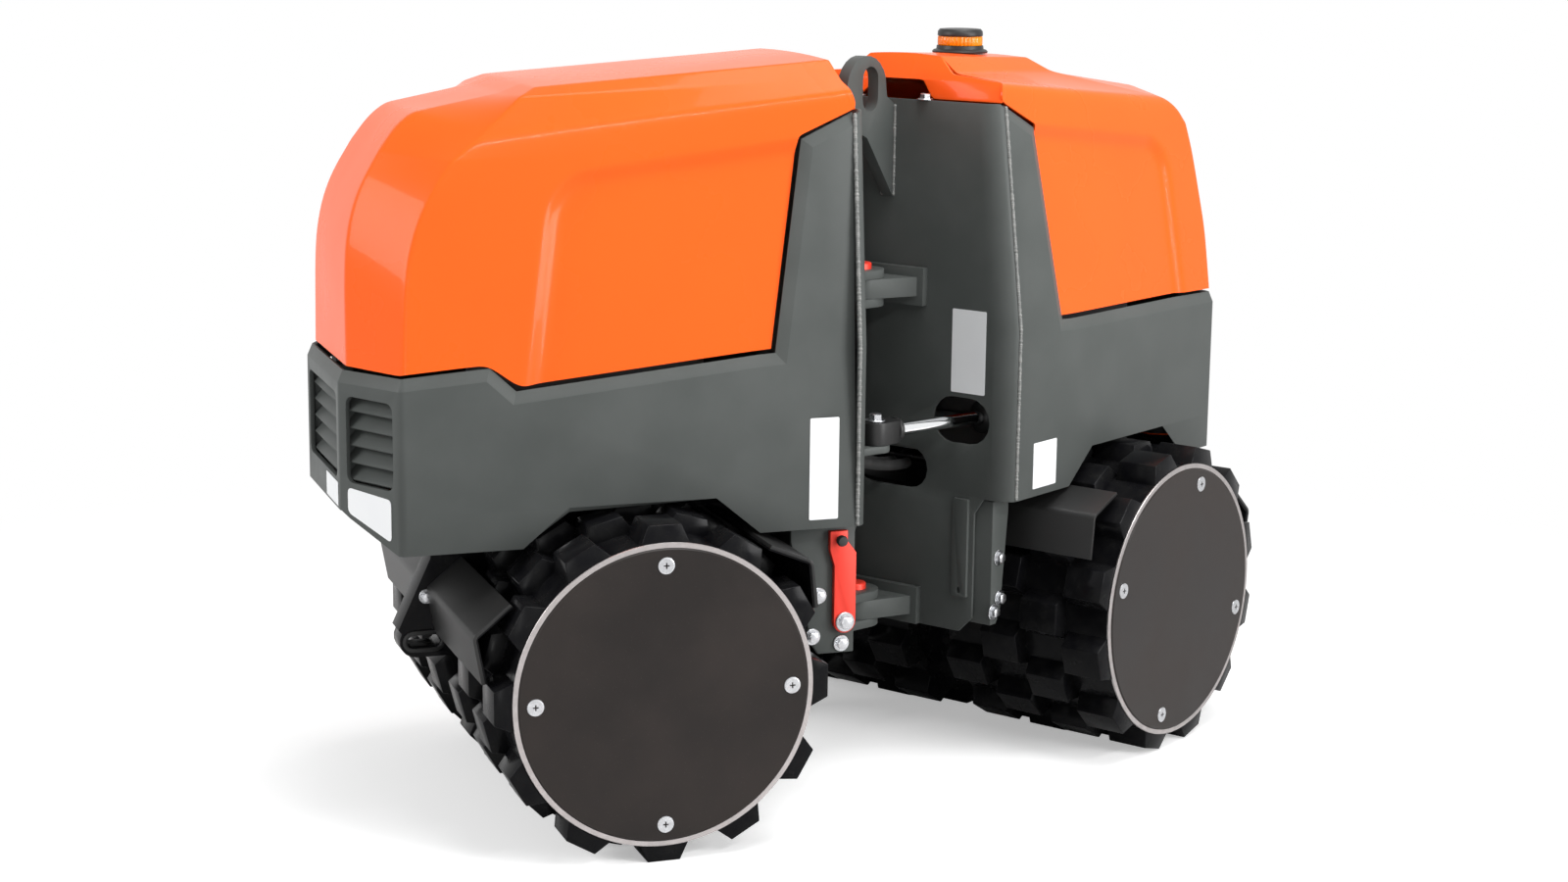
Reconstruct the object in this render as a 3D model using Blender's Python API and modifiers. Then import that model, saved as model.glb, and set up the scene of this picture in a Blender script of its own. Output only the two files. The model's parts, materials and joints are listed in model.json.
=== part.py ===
"""Articulated trench roller: two drum frames joined by a vertical hinge, steered by a cylinder.

Each half is modelled in its own frame, whose origin is on the steering axis at the ground, with +X
pointing outward to that half's end and +Z up. The front half's frame is the machine's frame. The
rear half's frame is turned about the steering axis by half a turn and the steering angle, so the
side that lies on +Y in the front half lies on -Y in the rear half.
"""

from math import atan2, cos, pi, radians, sin

import bmesh
import bpy
from mathutils import Matrix, Vector

# Machine layout
STEER_ANGLE = radians(32.35)
STEER_RANGE = 2 * STEER_ANGLE
ORIGIN_SHIFT = (-0.0495, 0.1794, 0.0)
TOUCH = 0.0003
RUNNING_GAP = 0.006

# Drums
DRUM_WIDTH = 0.850
DRUM_GAP = 0.100
DRUM_RADIUS = 0.270
LUG_HEIGHT = 0.031
LUG_SINK = 0.006
LUG_ROWS = 4
LUGS_PER_ROW = 12
LUG_BASE = 0.070
LUG_TOP = 0.056
LUG_WIDTH = 0.088
LUG_TOP_WIDTH = 0.080
DRUM_WALL = 0.018
DRUM_WEB = 0.016
DRUM_WEB_INSET = 0.016
DISC_RADIUS = 0.261
DISC_THICKNESS = 0.010
DISC_PROUD = 0.002
AXLE_RADIUS = 0.045
AXLE_OFFSET = 0.5105
AXLE_HEIGHT = DRUM_RADIUS + LUG_HEIGHT
HUB_RADIUS = 0.105
SEGMENTS = 48
DRUM_SIDES = 24

# Chassis plan: hinge wall, rounded inner corners, sides, chamfers and end face
SHEET = 0.008
HINGE_WALL = 0.085
HINGE_WALL_THICKNESS = 0.012
WALL_CORNER = 0.055
HINGE_WALL_FOOT_HALF_WIDTH = 0.215
HINGE_WALL_FOOT = 0.281
SIDE_HALF_WIDTH = 0.292
FACE_HALF_WIDTH = 0.150
CHAMFER_LENGTH = 0.078
FRONT_SIDE_END = 0.938
REAR_SIDE_END = 0.835
CORNER_STEPS = 6
WELD_LAND = 0.004
WALL_EDGE = HINGE_WALL + WALL_CORNER + WELD_LAND

# Chassis heights
SIDE_BOTTOM = 0.545
ARCH_TOP = 0.613
ARCH_TOP_HALF = 0.134
ARCH_FOOT_HALF = 0.216
FACE_BOTTOM = 0.602
SEAM_HEIGHT = 0.848
SEAM_INNER = 0.866
SEAM_STEP = 0.042
STEP_FROM_END = 0.157
STEP_LENGTH = 0.046
POST_FOOT = 0.267
POST_HEAD = 0.231
POST_HEAD_HEIGHT = 1.230
WALL_TOP = 1.285
POST_TOP_INNER = 0.120
DECK_BOTTOM = 0.618
DECK_THICKNESS = 0.010

# Leg box under the hinge wall
LEG_HALF_WIDTH = 0.250
LEG_FOOT = 0.300
LEG_TOP = 0.541
FRONT_LEG_DEPTH = (0.222, 0.180)
REAR_LEG_DEPTH = (0.150, 0.130)

# Louvres
SLATS = 5
SLAT_DEPTH = 0.026
LOUVRE_TOP = SEAM_HEIGHT - 0.042
LOUVRE_HEIGHT = 0.151
LOUVRE_BOTTOM = LOUVRE_TOP - LOUVRE_HEIGHT
LOUVRE_CORNER = 0.016
LOUVRE_SIDE_MARGIN = 0.020
SLAT_THICKNESS = 0.004

# Drum frame, called the yoke, that hangs between the two drum halves
YOKE_HALF = 0.028
YOKE_HUB_HALF = 0.044
BEAM_OFFSET = 0.290
BEAM_HALF_WIDTH = 0.240
BEAM_SIZE = (0.040, 0.028)
BEAM_HEIGHT = 0.556
BUFFER_RADIUS = 0.034
BUFFER_Y = 0.190
EYE_OFFSET = 0.330
EYE_HEIGHT = 0.322
EYE_SLOT = (0.030, 0.011)
SCRAPER_HALF_WIDTH = 0.390
SCRAPER_THICKNESS = 0.007
SCRAPER_ANGLES = {"outer": radians(20), "inner": radians(37)}
SCRAPER_SPREAD = radians(13)

# Steering hinge
HINGE_HEIGHTS = (0.318, 0.936)
LUG_PLATE = 0.036
CLEVIS_PLATE = 0.016
HINGE_FOOT = {"depth": 0.014, "half_width": 0.096, "half_height": 0.036}
HINGE_NOSE = 0.046
HINGE_ROOT = 0.088
PIN_RADIUS = 0.022
PIN_CLEARANCE = 0.0008
FACE_CLEARANCE = 0.0005

# Steering cylinder: the rod's eye in the front half, the base pin in the rear half
EYE_PIN = (0.030, 0.170)
BASE_PIN = (0.360, -0.240)
CYLINDER_HEIGHT = DECK_BOTTOM + DECK_THICKNESS + 0.062
CYLINDER_RADIUS = 0.030
ROD_RADIUS = 0.0125
BARREL_LENGTH = 0.215
BORE_BOTTOM = 0.020
BOSS_RADIUS = 0.026
BOSS_HALF = 0.032
BASE_PIN_RADIUS = 0.0122
ROD_ENGAGED = 0.005
ROD_END_RADIUS = 0.027
ROD_END_THICKNESS = 0.042
COLLAR_RADIUS = 0.020
COLLAR_LENGTH = 0.050
STEER_LUG_THICKNESS = 0.014
LUG_HALF_ROOT = 0.045
LUG_CLEARANCE = 0.001

# Hydraulic hoses under the cylinder
HOSE_RADIUS = 0.010
HOSE_STUB = 0.012
HOSE_STARTS = ((0.060, 0.640), (0.100, 0.625))
HOSE_END = (-0.004, 0.585)
HOSE_PITCH = 0.034

# Plain blocks for what the hoods close in: half widths, inner and outer end along X, and height
ENGINE_SPACE = {"half": 0.170, "inner": 0.360, "outer": 0.720, "height": 0.392}
TANK_SPACE = {"half": 0.170, "inner": 0.420, "outer": 0.700, "height": 0.292}

# Hoods
HOOD_SHEET = 0.004
HOOD_GAP = 0.007
HOOD_HINGE_INSET = 0.016
HOOD_HINGE_DROP = 0.148

# Lifting eye and beacon
EYE_PLATE = 0.024
BEACON_OFFSET = 0.315
BEACON_BASE_RADIUS = 0.054
BEACON_PIECES = (
    {"name": "beacon_base", "radius": BEACON_BASE_RADIUS, "low": 0.0, "high": 0.014, "slot": "rubber"},
    {"name": "beacon_lens", "radius": 0.044, "low": 0.014 + TOUCH, "high": 0.032, "slot": "amber"},
    {"name": "beacon_cap", "radius": 0.044, "low": 0.032 + TOUCH, "high": 0.046, "slot": "rubber"},
)

COLOURS = {
    "hood": ((1.0, 0.16, 0.025), 0.25, 0.0),
    "chassis": ((0.070, 0.076, 0.074), 0.45, 0.2),
    "gloss_black": ((0.010, 0.010, 0.011), 0.22, 0.2),
    "disc": ((0.040, 0.032, 0.028), 0.5, 0.1),
    "rubber": ((0.012, 0.012, 0.012), 0.8, 0.0),
    "lock_red": ((0.80, 0.045, 0.025), 0.35, 0.0),
    "steel": ((0.55, 0.56, 0.57), 0.3, 1.0),
    "chrome": ((0.85, 0.85, 0.86), 0.08, 1.0),
    "amber": ((1.0, 0.33, 0.02), 0.15, 0.0),
    "engine": ((0.12, 0.12, 0.13), 0.6, 0.5),
}


def clear_scene():
    """Remove every object of the open file."""
    for thing in list(bpy.data.objects):
        bpy.data.objects.remove(thing, do_unlink=True)


def new_collection(name):
    """Make a collection under the scene's own one."""
    group = bpy.data.collections.new(name)
    bpy.context.scene.collection.children.link(group)
    return group


clear_scene()
PARTS = new_collection("trench_roller")
CUTTERS = new_collection("cutters")


def material(slot):
    """Give the Principled material of a colour slot."""
    name = "paint_" + slot
    found = bpy.data.materials.get(name)
    if found:
        return found
    colour, roughness, metallic = COLOURS[slot]
    made = bpy.data.materials.new(name)
    made.use_nodes = True
    shader = made.node_tree.nodes["Principled BSDF"]
    shader.inputs["Base Color"].default_value = (*colour, 1.0)
    shader.inputs["Roughness"].default_value = roughness
    shader.inputs["Metallic"].default_value = metallic
    return made


def empty(name, at, parent=None, turn=0.0):
    """Place an empty that carries other objects."""
    holder = bpy.data.objects.new(name, None)
    holder.location = at
    holder.rotation_euler = (0.0, 0.0, turn)
    holder.parent = parent
    PARTS.objects.link(holder)
    return holder


def add(name, mesh, slot, parent, at=(0.0, 0.0, 0.0)):
    """Put a mesh into the model as one named sub-part."""
    thing = bpy.data.objects.new(name, mesh)
    thing.location = at
    thing.parent = parent
    mesh.materials.append(material(slot))
    PARTS.objects.link(thing)
    return thing


def cutter(name, mesh, parent, at=(0.0, 0.0, 0.0)):
    """Put a mesh into the model as a cutter, which is no sub-part."""
    thing = bpy.data.objects.new(name, mesh)
    thing.location = at
    thing.parent = parent
    thing.hide_render = True
    thing.display_type = "WIRE"
    CUTTERS.objects.link(thing)
    return thing


def combine(thing, tool, operation):
    """Cut the tool from the thing, or join it on."""
    step = thing.modifiers.new(tool.name, "BOOLEAN")
    step.operation = operation
    step.solver = "EXACT"
    step.object = tool


def subtract(thing, *tools):
    for tool in tools:
        combine(thing, tool, "DIFFERENCE")


def unite(thing, *tools):
    for tool in tools:
        combine(thing, tool, "UNION")


def to_mesh(bm, name):
    """Turn a bmesh into mesh data with outward faces."""
    bmesh.ops.recalc_face_normals(bm, faces=bm.faces)
    mesh = bpy.data.meshes.new(name)
    bm.to_mesh(mesh)
    bm.free()
    return mesh


def block(name, size, centre):
    """A box of a given size about a centre."""
    bm = bmesh.new()
    bmesh.ops.create_cube(bm, size=1.0)
    bmesh.ops.scale(bm, vec=size, verts=bm.verts)
    bmesh.ops.translate(bm, vec=centre, verts=bm.verts)
    return to_mesh(bm, name)


def span(name, low, high):
    """A box between two corners."""
    size = [b - a for a, b in zip(low, high)]
    centre = [(a + b) / 2 for a, b in zip(low, high)]
    return block(name, size, centre)


def rod(name, radius, start, end, segments=SEGMENTS):
    """A cylinder between two points."""
    bm = bmesh.new()
    start, end = Vector(start), Vector(end)
    reach = end - start
    bmesh.ops.create_cone(bm, cap_ends=True, segments=segments, radius1=radius, radius2=radius, depth=reach.length)
    turn = Vector((0, 0, 1)).rotation_difference(reach).to_matrix().to_4x4()
    bmesh.ops.transform(bm, matrix=Matrix.Translation((start + end) / 2) @ turn, verts=bm.verts)
    return to_mesh(bm, name)


PLANES = {
    "XY": Matrix(((1, 0, 0), (0, 1, 0), (0, 0, 1))),
    "XZ": Matrix(((1, 0, 0), (0, 0, -1), (0, 1, 0))),
    "YZ": Matrix(((0, 0, 1), (1, 0, 0), (0, 1, 0))),
}


def plate(name, outlines, plane, middle, thickness):
    """A flat outline, with any holes after it, as a filled curve of a thickness, made a mesh.

    The plane's normal is +Z for XY, -Y for XZ and +X for YZ, and middle is the plate's place on it.
    """
    curve = bpy.data.curves.new(name, "CURVE")
    curve.dimensions = "2D"
    curve.fill_mode = "BOTH"
    curve.extrude = thickness / 2
    for outline in outlines:
        spline = curve.splines.new("POLY")
        spline.points.add(len(outline) - 1)
        for point, (u, v) in zip(spline.points, outline):
            point.co = (u, v, 0.0, 1.0)
        spline.use_cyclic_u = True
    drawn = bpy.data.objects.new(name, curve)
    bpy.context.scene.collection.objects.link(drawn)
    bpy.context.view_layer.update()
    graph = bpy.context.evaluated_depsgraph_get()
    mesh = bpy.data.meshes.new_from_object(drawn.evaluated_get(graph))
    bpy.data.objects.remove(drawn, do_unlink=True)
    bm = bmesh.new()
    bm.from_mesh(mesh)
    bpy.data.meshes.remove(mesh)
    bmesh.ops.remove_doubles(bm, verts=bm.verts, dist=0.00001)
    bmesh.ops.translate(bm, vec=(0, 0, middle), verts=bm.verts)
    if plane == "XZ":
        bmesh.ops.translate(bm, vec=(0, 0, -2 * middle), verts=bm.verts)
    bmesh.ops.transform(bm, matrix=PLANES[plane].to_4x4(), verts=bm.verts)
    return to_mesh(bm, name)


def arc(centre, radius, start, end, steps):
    """Points on an arc, angles in degrees."""
    angles = [radians(start + (end - start) * k / steps) for k in range(steps + 1)]
    return [(centre[0] + radius * cos(a), centre[1] + radius * sin(a)) for a in angles]


def slot(centre, half_length, radius, steps=8):
    """A slot along the first axis, with round ends."""
    u, v = centre
    return arc((u + half_length, v), radius, -90, 90, steps) + arc((u - half_length, v), radius, 90, 270, steps)


def ring(centre, radius, steps=24):
    """A whole circle of points."""
    return arc(centre, radius, 0, 360 - 360 / steps, steps - 1)


def upright_sheet(path, low, high):
    """An upright open sheet along a plan path, for Solidify to thicken on the path's left."""
    bm = bmesh.new()
    bottom = [bm.verts.new((x, y, low)) for x, y in path]
    top = [bm.verts.new((x, y, high)) for x, y in path]
    for k in range(len(path) - 1):
        bm.faces.new((bottom[k], bottom[k + 1], top[k + 1], top[k]))
    mesh = bpy.data.meshes.new("sheet")
    bm.to_mesh(mesh)
    bm.free()
    return mesh


def rounded(half_width, half_height, radius, steps=3):
    """A rectangle about the middle with round corners."""
    u, v = half_width - radius, half_height - radius
    points = []
    for k, (cu, cv) in enumerate(((u, v), (-u, v), (-u, -v), (u, -v))):
        points += arc((cu, cv), radius, 90 * k, 90 * (k + 1), steps)
    return points


def solidify(thing, thickness, inward=True):
    """Give an open surface its wall thickness on its inner side."""
    step = thing.modifiers.new("wall", "SOLIDIFY")
    step.thickness = thickness
    step.offset = -1.0 if inward else 1.0
    step.use_even_offset = True
    return step


class Half:
    """One half of the machine in its own frame, with what differs between front and rear."""

    def __init__(self, name, holder, near, side_end, leg_depth):
        self.name = name
        self.holder = holder
        self.near = near
        self.side_end = side_end
        self.face = side_end + CHAMFER_LENGTH
        self.leg_depth = leg_depth

    def label(self, word):
        return self.name + "_" + word

    def plan(self):
        """The chassis sheet's outline from one edge of the hinge wall around the end to the other."""
        left = [(WALL_EDGE + TOUCH, SIDE_HALF_WIDTH), (self.side_end, SIDE_HALF_WIDTH),
                (self.face, FACE_HALF_WIDTH)]
        right = [(x, -y) for x, y in reversed(left)]
        return left + right

    def seam(self):
        """The upper edge of the chassis side from the end face to the post's top, in X and Z."""
        step = self.side_end - STEP_FROM_END
        return [
            (self.face + 0.1, SEAM_HEIGHT),
            (self.side_end, SEAM_HEIGHT + 0.002),
            (step, SEAM_HEIGHT + 0.014),
            (step - STEP_LENGTH, SEAM_HEIGHT + 0.014 - SEAM_STEP),
            (POST_FOOT, SEAM_INNER),
            (POST_HEAD, POST_HEAD_HEIGHT),
            (POST_TOP_INNER, WALL_TOP - 0.001),
        ]

    def above_seam(self, name):
        """A cutter that takes away all that lies above the seam and the posts."""
        outline = self.seam() + [(POST_TOP_INNER, WALL_TOP + 0.1), (self.face + 0.1, WALL_TOP + 0.1)]
        mesh = plate(name, [outline], "XZ", 0.0, 2 * SIDE_HALF_WIDTH + 0.1)
        return cutter(self.label(name), mesh, self.holder)

    def underside(self):
        """What is cut from below: the drum arch and the raised end."""
        arch = [
            (AXLE_OFFSET - ARCH_FOOT_HALF, SIDE_BOTTOM - 0.01),
            (AXLE_OFFSET - ARCH_FOOT_HALF, SIDE_BOTTOM),
            (AXLE_OFFSET - ARCH_TOP_HALF, ARCH_TOP),
            (AXLE_OFFSET + ARCH_TOP_HALF, ARCH_TOP),
            (AXLE_OFFSET + ARCH_FOOT_HALF, SIDE_BOTTOM),
            (AXLE_OFFSET + ARCH_FOOT_HALF, SIDE_BOTTOM - 0.01),
        ]
        nose = [
            (self.side_end + 0.004, SIDE_BOTTOM - 0.01),
            (self.side_end + 0.004, SIDE_BOTTOM),
            (self.face - 0.012, FACE_BOTTOM - 0.010),
            (self.face - 0.002, FACE_BOTTOM),
            (self.face + 0.1, FACE_BOTTOM),
            (self.face + 0.1, SIDE_BOTTOM - 0.01),
        ]
        return arch, nose


def chassis_shell(half):
    """Side plates, chamfers and end face, bent from one sheet, with arches and louvre windows."""
    path = list(reversed(half.plan()))
    shell = add(half.label("shell"), upright_sheet(path, SIDE_BOTTOM, WALL_TOP), "chassis", half.holder)
    solidify(shell, SHEET)
    width = 2 * SIDE_HALF_WIDTH + 0.1
    subtract(shell, half.above_seam("cut_seam"))
    for k, outline in enumerate(half.underside()):
        name = half.label("cut_under_%d" % k)
        subtract(shell, cutter(name, plate(name, [outline], "XZ", 0.0, width), half.holder))
    subtract(shell, *louvre_windows(half))
    return shell


def louvre_windows(half):
    """Cutters for the windows in the end face and in each chamfer."""
    middle = (LOUVRE_BOTTOM + LOUVRE_TOP) / 2
    places = [("face", (half.face, 0), 0.0, 2 * FACE_HALF_WIDTH)]
    for side, word in ((1, "left"), (-1, "right")):
        places.append((word, *chamfer_place(half, side)))
    tools = []
    for word, centre, turn, length in places:
        name = half.label("window_" + word)
        outline = rounded((length - 2 * LOUVRE_SIDE_MARGIN) / 2, LOUVRE_HEIGHT / 2, LOUVRE_CORNER)
        tool = cutter(name, plate(name, [outline], "YZ", 0.0, 4 * SHEET), half.holder, (*centre, middle))
        tool.rotation_euler = (0, 0, turn)
        tools.append(tool)
    return tools


def chamfer_place(half, side):
    """Middle, turn about Z and length of a chamfer's flat."""
    inner = Vector((half.side_end, side * SIDE_HALF_WIDTH))
    outer = Vector((half.face, side * FACE_HALF_WIDTH))
    along = outer - inner
    centre = (inner + outer) / 2
    return (centre.x, centre.y), turn_of(along, side), along.length


def turn_of(along, side):
    """Turn about Z that lays a box's Y axis along a chamfer."""
    return atan2(-side * along.x, side * along.y)


def end_path(half, inset):
    """The chamfers and end face in plan, moved inward by an inset, from a little past each side."""
    start = Vector((half.side_end, SIDE_HALF_WIDTH))
    along = Vector((CHAMFER_LENGTH, FACE_HALF_WIDTH - SIDE_HALF_WIDTH))
    inward = Vector((along.y, -along.x)).normalized() * inset
    side = start + along * 0.12 + inward
    reach = (half.face - inset - start.x - inward.x) / along.x
    crease = start + inward + along * reach
    near = [tuple(side), tuple(crease)]
    return near + [(x, -y) for x, y in reversed(near)]


def louvre_grille(half):
    """Slanted slats bent round the end behind its windows, on upright bars, one welded piece."""
    inset = SHEET + TOUCH
    front, back = end_path(half, inset + 0.003), end_path(half, inset + SLAT_DEPTH)
    pitch = (LOUVRE_TOP - LOUVRE_BOTTOM) / SLATS
    grille = None
    bar_front, bar_back = end_path(half, inset + 0.002), end_path(half, inset + SLAT_DEPTH + 0.004)
    for k in range(4):
        (ax, ay), (bx, by) = bar_front[k], bar_back[k]
        away = 0.009 if ay > 0 else -0.009
        out = away / 3
        outline = [(ax, ay + out), (ax, ay - away), (bx, by - away), (bx, by + out)]
        bar = plate("bar", [outline], "XY", (LOUVRE_BOTTOM + LOUVRE_TOP) / 2, LOUVRE_TOP - LOUVRE_BOTTOM + 0.016)
        if grille is None:
            grille = add(half.label("grille"), bar, "chassis", half.holder)
        else:
            unite(grille, cutter(half.label("grille_bar_%d" % k), bar, half.holder))
    for k in range(SLATS):
        low = LOUVRE_BOTTOM + k * pitch + 0.002
        high = low + pitch * 0.8
        bm = bmesh.new()
        outer = [bm.verts.new((x, y, low)) for x, y in front]
        inner = [bm.verts.new((x, y, high)) for x, y in back]
        for j in range(3):
            bm.faces.new((outer[j], outer[j + 1], inner[j + 1], inner[j]))
        mesh = bpy.data.meshes.new("slat")
        bm.to_mesh(mesh)
        bm.free()
        slat = cutter(half.label("slat_%d" % k), mesh, half.holder)
        solidify(slat, SLAT_THICKNESS)
        unite(grille, slat)
    return grille


def hinge_wall(half):
    """The bent plate that carries the steering hinge: round at both edges, narrow below the chassis."""
    flat = SIDE_HALF_WIDTH - WALL_CORNER
    corner = arc((HINGE_WALL + WALL_CORNER, flat), WALL_CORNER, 90, 180, CORNER_STEPS)
    corner.insert(0, (WALL_EDGE, SIDE_HALF_WIDTH))
    path = corner + [(x, -y) for x, y in reversed(corner)]
    wall = add(half.label("hinge_wall"), upright_sheet(path, HINGE_WALL_FOOT, WALL_TOP), "chassis", half.holder)
    solidify(wall, HINGE_WALL_THICKNESS)
    subtract(wall, half.above_seam("cut_post"))
    narrow, wide = HINGE_WALL_FOOT_HALF_WIDTH, SIDE_HALF_WIDTH + 0.1
    low = HINGE_WALL_FOOT - 0.1
    beside = [(wide, SIDE_BOTTOM), (narrow + 0.02, SIDE_BOTTOM), (narrow, SIDE_BOTTOM - 0.03),
              (narrow, HINGE_WALL_FOOT + 0.03), (narrow - 0.05, HINGE_WALL_FOOT - 0.02), (narrow - 0.05, low), (wide, low)]
    outlines = [beside, [(-y, z) for y, z in beside]]
    if half.near < 0:
        outlines.append(slot((-0.180, CYLINDER_HEIGHT), 0.020, 0.044))
        outlines.append(slot((-0.020, 0.585), 0.045, 0.040))
    for k, outline in enumerate(outlines):
        name = half.label("cut_wall_%d" % k)
        subtract(wall, cutter(name, plate(name, [outline], "YZ", HINGE_WALL, 0.3), half.holder))
    return wall


def leg_box(half):
    """A channel bent round the hinge wall's foot, with its web behind the wall."""
    back = HINGE_WALL + HINGE_WALL_THICKNESS + TOUCH
    top_depth, foot_depth = half.leg_depth
    path = [(0.30, LEG_HALF_WIDTH), (back, LEG_HALF_WIDTH), (back, -LEG_HALF_WIDTH), (0.30, -LEG_HALF_WIDTH)]
    leg = add(half.label("leg_box"), upright_sheet(path, LEG_FOOT, LEG_TOP), "chassis", half.holder)
    solidify(leg, SHEET)
    beyond = [(top_depth, LEG_TOP + 0.05), (top_depth, SIDE_BOTTOM - 0.03), (foot_depth, LEG_FOOT + 0.02),
              (foot_depth - 0.02, LEG_FOOT - 0.01), (0.4, LEG_FOOT - 0.01), (0.4, LEG_TOP + 0.05)]
    tool = plate("cut", [beyond], "XZ", 0.0, 3 * LEG_HALF_WIDTH)
    subtract(leg, cutter(half.label("cut_leg"), tool, half.holder))
    return leg


def deck(half):
    """The floor plate over the drum that carries the power unit."""
    inset = SHEET + TOUCH
    low_x = HINGE_WALL + HINGE_WALL_THICKNESS + TOUCH
    end = half.face - inset
    side = SIDE_HALF_WIDTH - inset
    corner = SIDE_HALF_WIDTH - WALL_CORNER - 0.002
    behind = HINGE_WALL + WALL_CORNER + 0.02
    outline = [(low_x, -corner), (low_x, corner), (behind, side),
               (half.side_end - 0.006, side), (end, FACE_HALF_WIDTH - 0.006),
               (end, -FACE_HALF_WIDTH + 0.006), (half.side_end - 0.006, -side), (behind, -side)]
    mesh = plate(half.label("deck"), [outline], "XY", DECK_BOTTOM + DECK_THICKNESS / 2, DECK_THICKNESS)
    return add(half.label("deck"), mesh, "chassis", half.holder)


def yoke(half):
    """The drum frame: hub plate, two cross beams, rubber buffers, scrapers and tie-down eye."""
    rise = BEAM_HEIGHT - BEAM_SIZE[1] / 2
    reach = BEAM_OFFSET + BEAM_SIZE[0] / 2
    outline = [
        (-reach, rise), (-reach, rise + BEAM_SIZE[1]), (reach, rise + BEAM_SIZE[1]), (reach + 0.012, 0.474),
        (EYE_OFFSET + 0.052, 0.345),
    ]
    outline += arc((EYE_OFFSET + 0.020, EYE_HEIGHT), 0.030, 30, -90, 6)
    outline += [(EYE_OFFSET - 0.06, EYE_HEIGHT - 0.030), (0.10, AXLE_HEIGHT - 0.09), (-0.10, AXLE_HEIGHT - 0.09),
                (-0.270, 0.400), (-reach, 0.500)]
    hole = slot((EYE_OFFSET + 0.006, EYE_HEIGHT), EYE_SLOT[0] - EYE_SLOT[1], EYE_SLOT[1])
    mesh = plate(half.label("yoke"), [outline, hole], "XZ", 0.0, 2 * YOKE_HALF)
    frame = add(half.label("yoke"), mesh, "gloss_black", half.holder, (AXLE_OFFSET, 0, 0))
    hub = rod("hub", HUB_RADIUS, (0, -YOKE_HUB_HALF, AXLE_HEIGHT), (0, YOKE_HUB_HALF, AXLE_HEIGHT), 32)
    unite(frame, cutter(half.label("hub"), hub, half.holder, (AXLE_OFFSET, 0, 0)))
    for sign in (1, -1):
        word = "outer" if sign > 0 else "inner"
        beam = block("beam", (BEAM_SIZE[0], 2 * BEAM_HALF_WIDTH, BEAM_SIZE[1]), (sign * BEAM_OFFSET, 0, BEAM_HEIGHT))
        unite(frame, cutter(half.label("beam_" + word), beam, half.holder, (AXLE_OFFSET, 0, 0)))
        bar = scraper(sign, SCRAPER_ANGLES[word])
        unite(frame, cutter(half.label("scraper_" + word), bar, half.holder, (AXLE_OFFSET, 0, 0)))
        for side in (1, -1):
            foot = (sign * BEAM_OFFSET, side * BUFFER_Y, BEAM_HEIGHT)
            head = (sign * BEAM_OFFSET, side * BUFFER_Y, DECK_BOTTOM - TOUCH)
            name = half.label("buffer_%s_%s" % (word, "left" if side > 0 else "right"))
            buffer = rod(name, BUFFER_RADIUS if sign > 0 else BUFFER_RADIUS * 0.8, foot, head, 16)
            unite(frame, cutter(name, buffer, half.holder, (AXLE_OFFSET, 0, 0)))
    bore = rod("bore", AXLE_RADIUS + 0.001, (0, -0.2, AXLE_HEIGHT), (0, 0.2, AXLE_HEIGHT))
    subtract(frame, cutter(half.label("bore"), bore, half.holder, (AXLE_OFFSET, 0, 0)))
    return frame


def scraper(sign, middle):
    """A bent bar across the drum, its two lips just clear of the lugs."""
    clear = DRUM_RADIUS + LUG_HEIGHT + RUNNING_GAP + 0.001
    low = middle - SCRAPER_SPREAD
    high = middle + SCRAPER_SPREAD
    back = clear + 0.034
    inner = [(clear, low), (back, middle), (clear, high)]
    outer = [(clear + SCRAPER_THICKNESS, high), (back + SCRAPER_THICKNESS, middle), (clear + SCRAPER_THICKNESS, low)]
    outline = [(sign * r * cos(a), AXLE_HEIGHT + r * sin(a)) for r, a in inner + outer]
    return plate("scraper", [outline], "XZ", 0.0, 2 * SCRAPER_HALF_WIDTH)


def lug_solids(rows, phase, sign):
    """All lugs of a drum half as loose frustums in one mesh, centred on the axle."""
    pitch = (DRUM_WIDTH - DRUM_GAP) / 2 / rows
    bm = bmesh.new()
    for row in range(rows):
        y = sign * (DRUM_WIDTH / 2 - (row + 0.5) * pitch)
        shift = 0.0 if row % 2 == 0 else 0.5
        for k in range(LUGS_PER_ROW):
            turn = phase + 2 * pi * (k + shift) / LUGS_PER_ROW
            made = bmesh.ops.create_cube(bm, size=1.0)["verts"]
            for vert in made:
                top = vert.co.z > 0
                vert.co.x *= LUG_TOP if top else LUG_BASE
                vert.co.y *= LUG_TOP_WIDTH if top else LUG_WIDTH
                vert.co.z = DRUM_RADIUS + LUG_HEIGHT if top else DRUM_RADIUS - LUG_SINK
            bmesh.ops.rotate(bm, verts=made, cent=(0, 0, 0), matrix=Matrix.Rotation(pi / 2 - turn, 3, "Y"))
            bmesh.ops.translate(bm, verts=made, vec=(0, y, 0))
    return to_mesh(bm, "lugs")


def turned(name, profile, segments, phase=0.0):
    """A solid of revolution about Y, from a closed profile of (radius, y) points."""
    bm = bmesh.new()
    rings = []
    for k in range(segments):
        turn = phase + 2 * pi * k / segments
        rings.append([bm.verts.new((r * cos(turn), y, r * sin(turn))) for r, y in profile])
    for k in range(segments):
        near, far = rings[k], rings[(k + 1) % segments]
        for j in range(len(profile)):
            nxt = (j + 1) % len(profile)
            bm.faces.new((near[j], near[nxt], far[nxt], far[j]))
    return to_mesh(bm, name)


def end_disc(radius, low, high, phase):
    """An end disc with the same sides as the drum it closes."""
    outline = [(radius * cos(phase + 2 * pi * k / DRUM_SIDES), radius * sin(phase + 2 * pi * k / DRUM_SIDES))
               for k in range(DRUM_SIDES)]
    return plate("disc", [outline], "XZ", (low + high) / 2, high - low)


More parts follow.
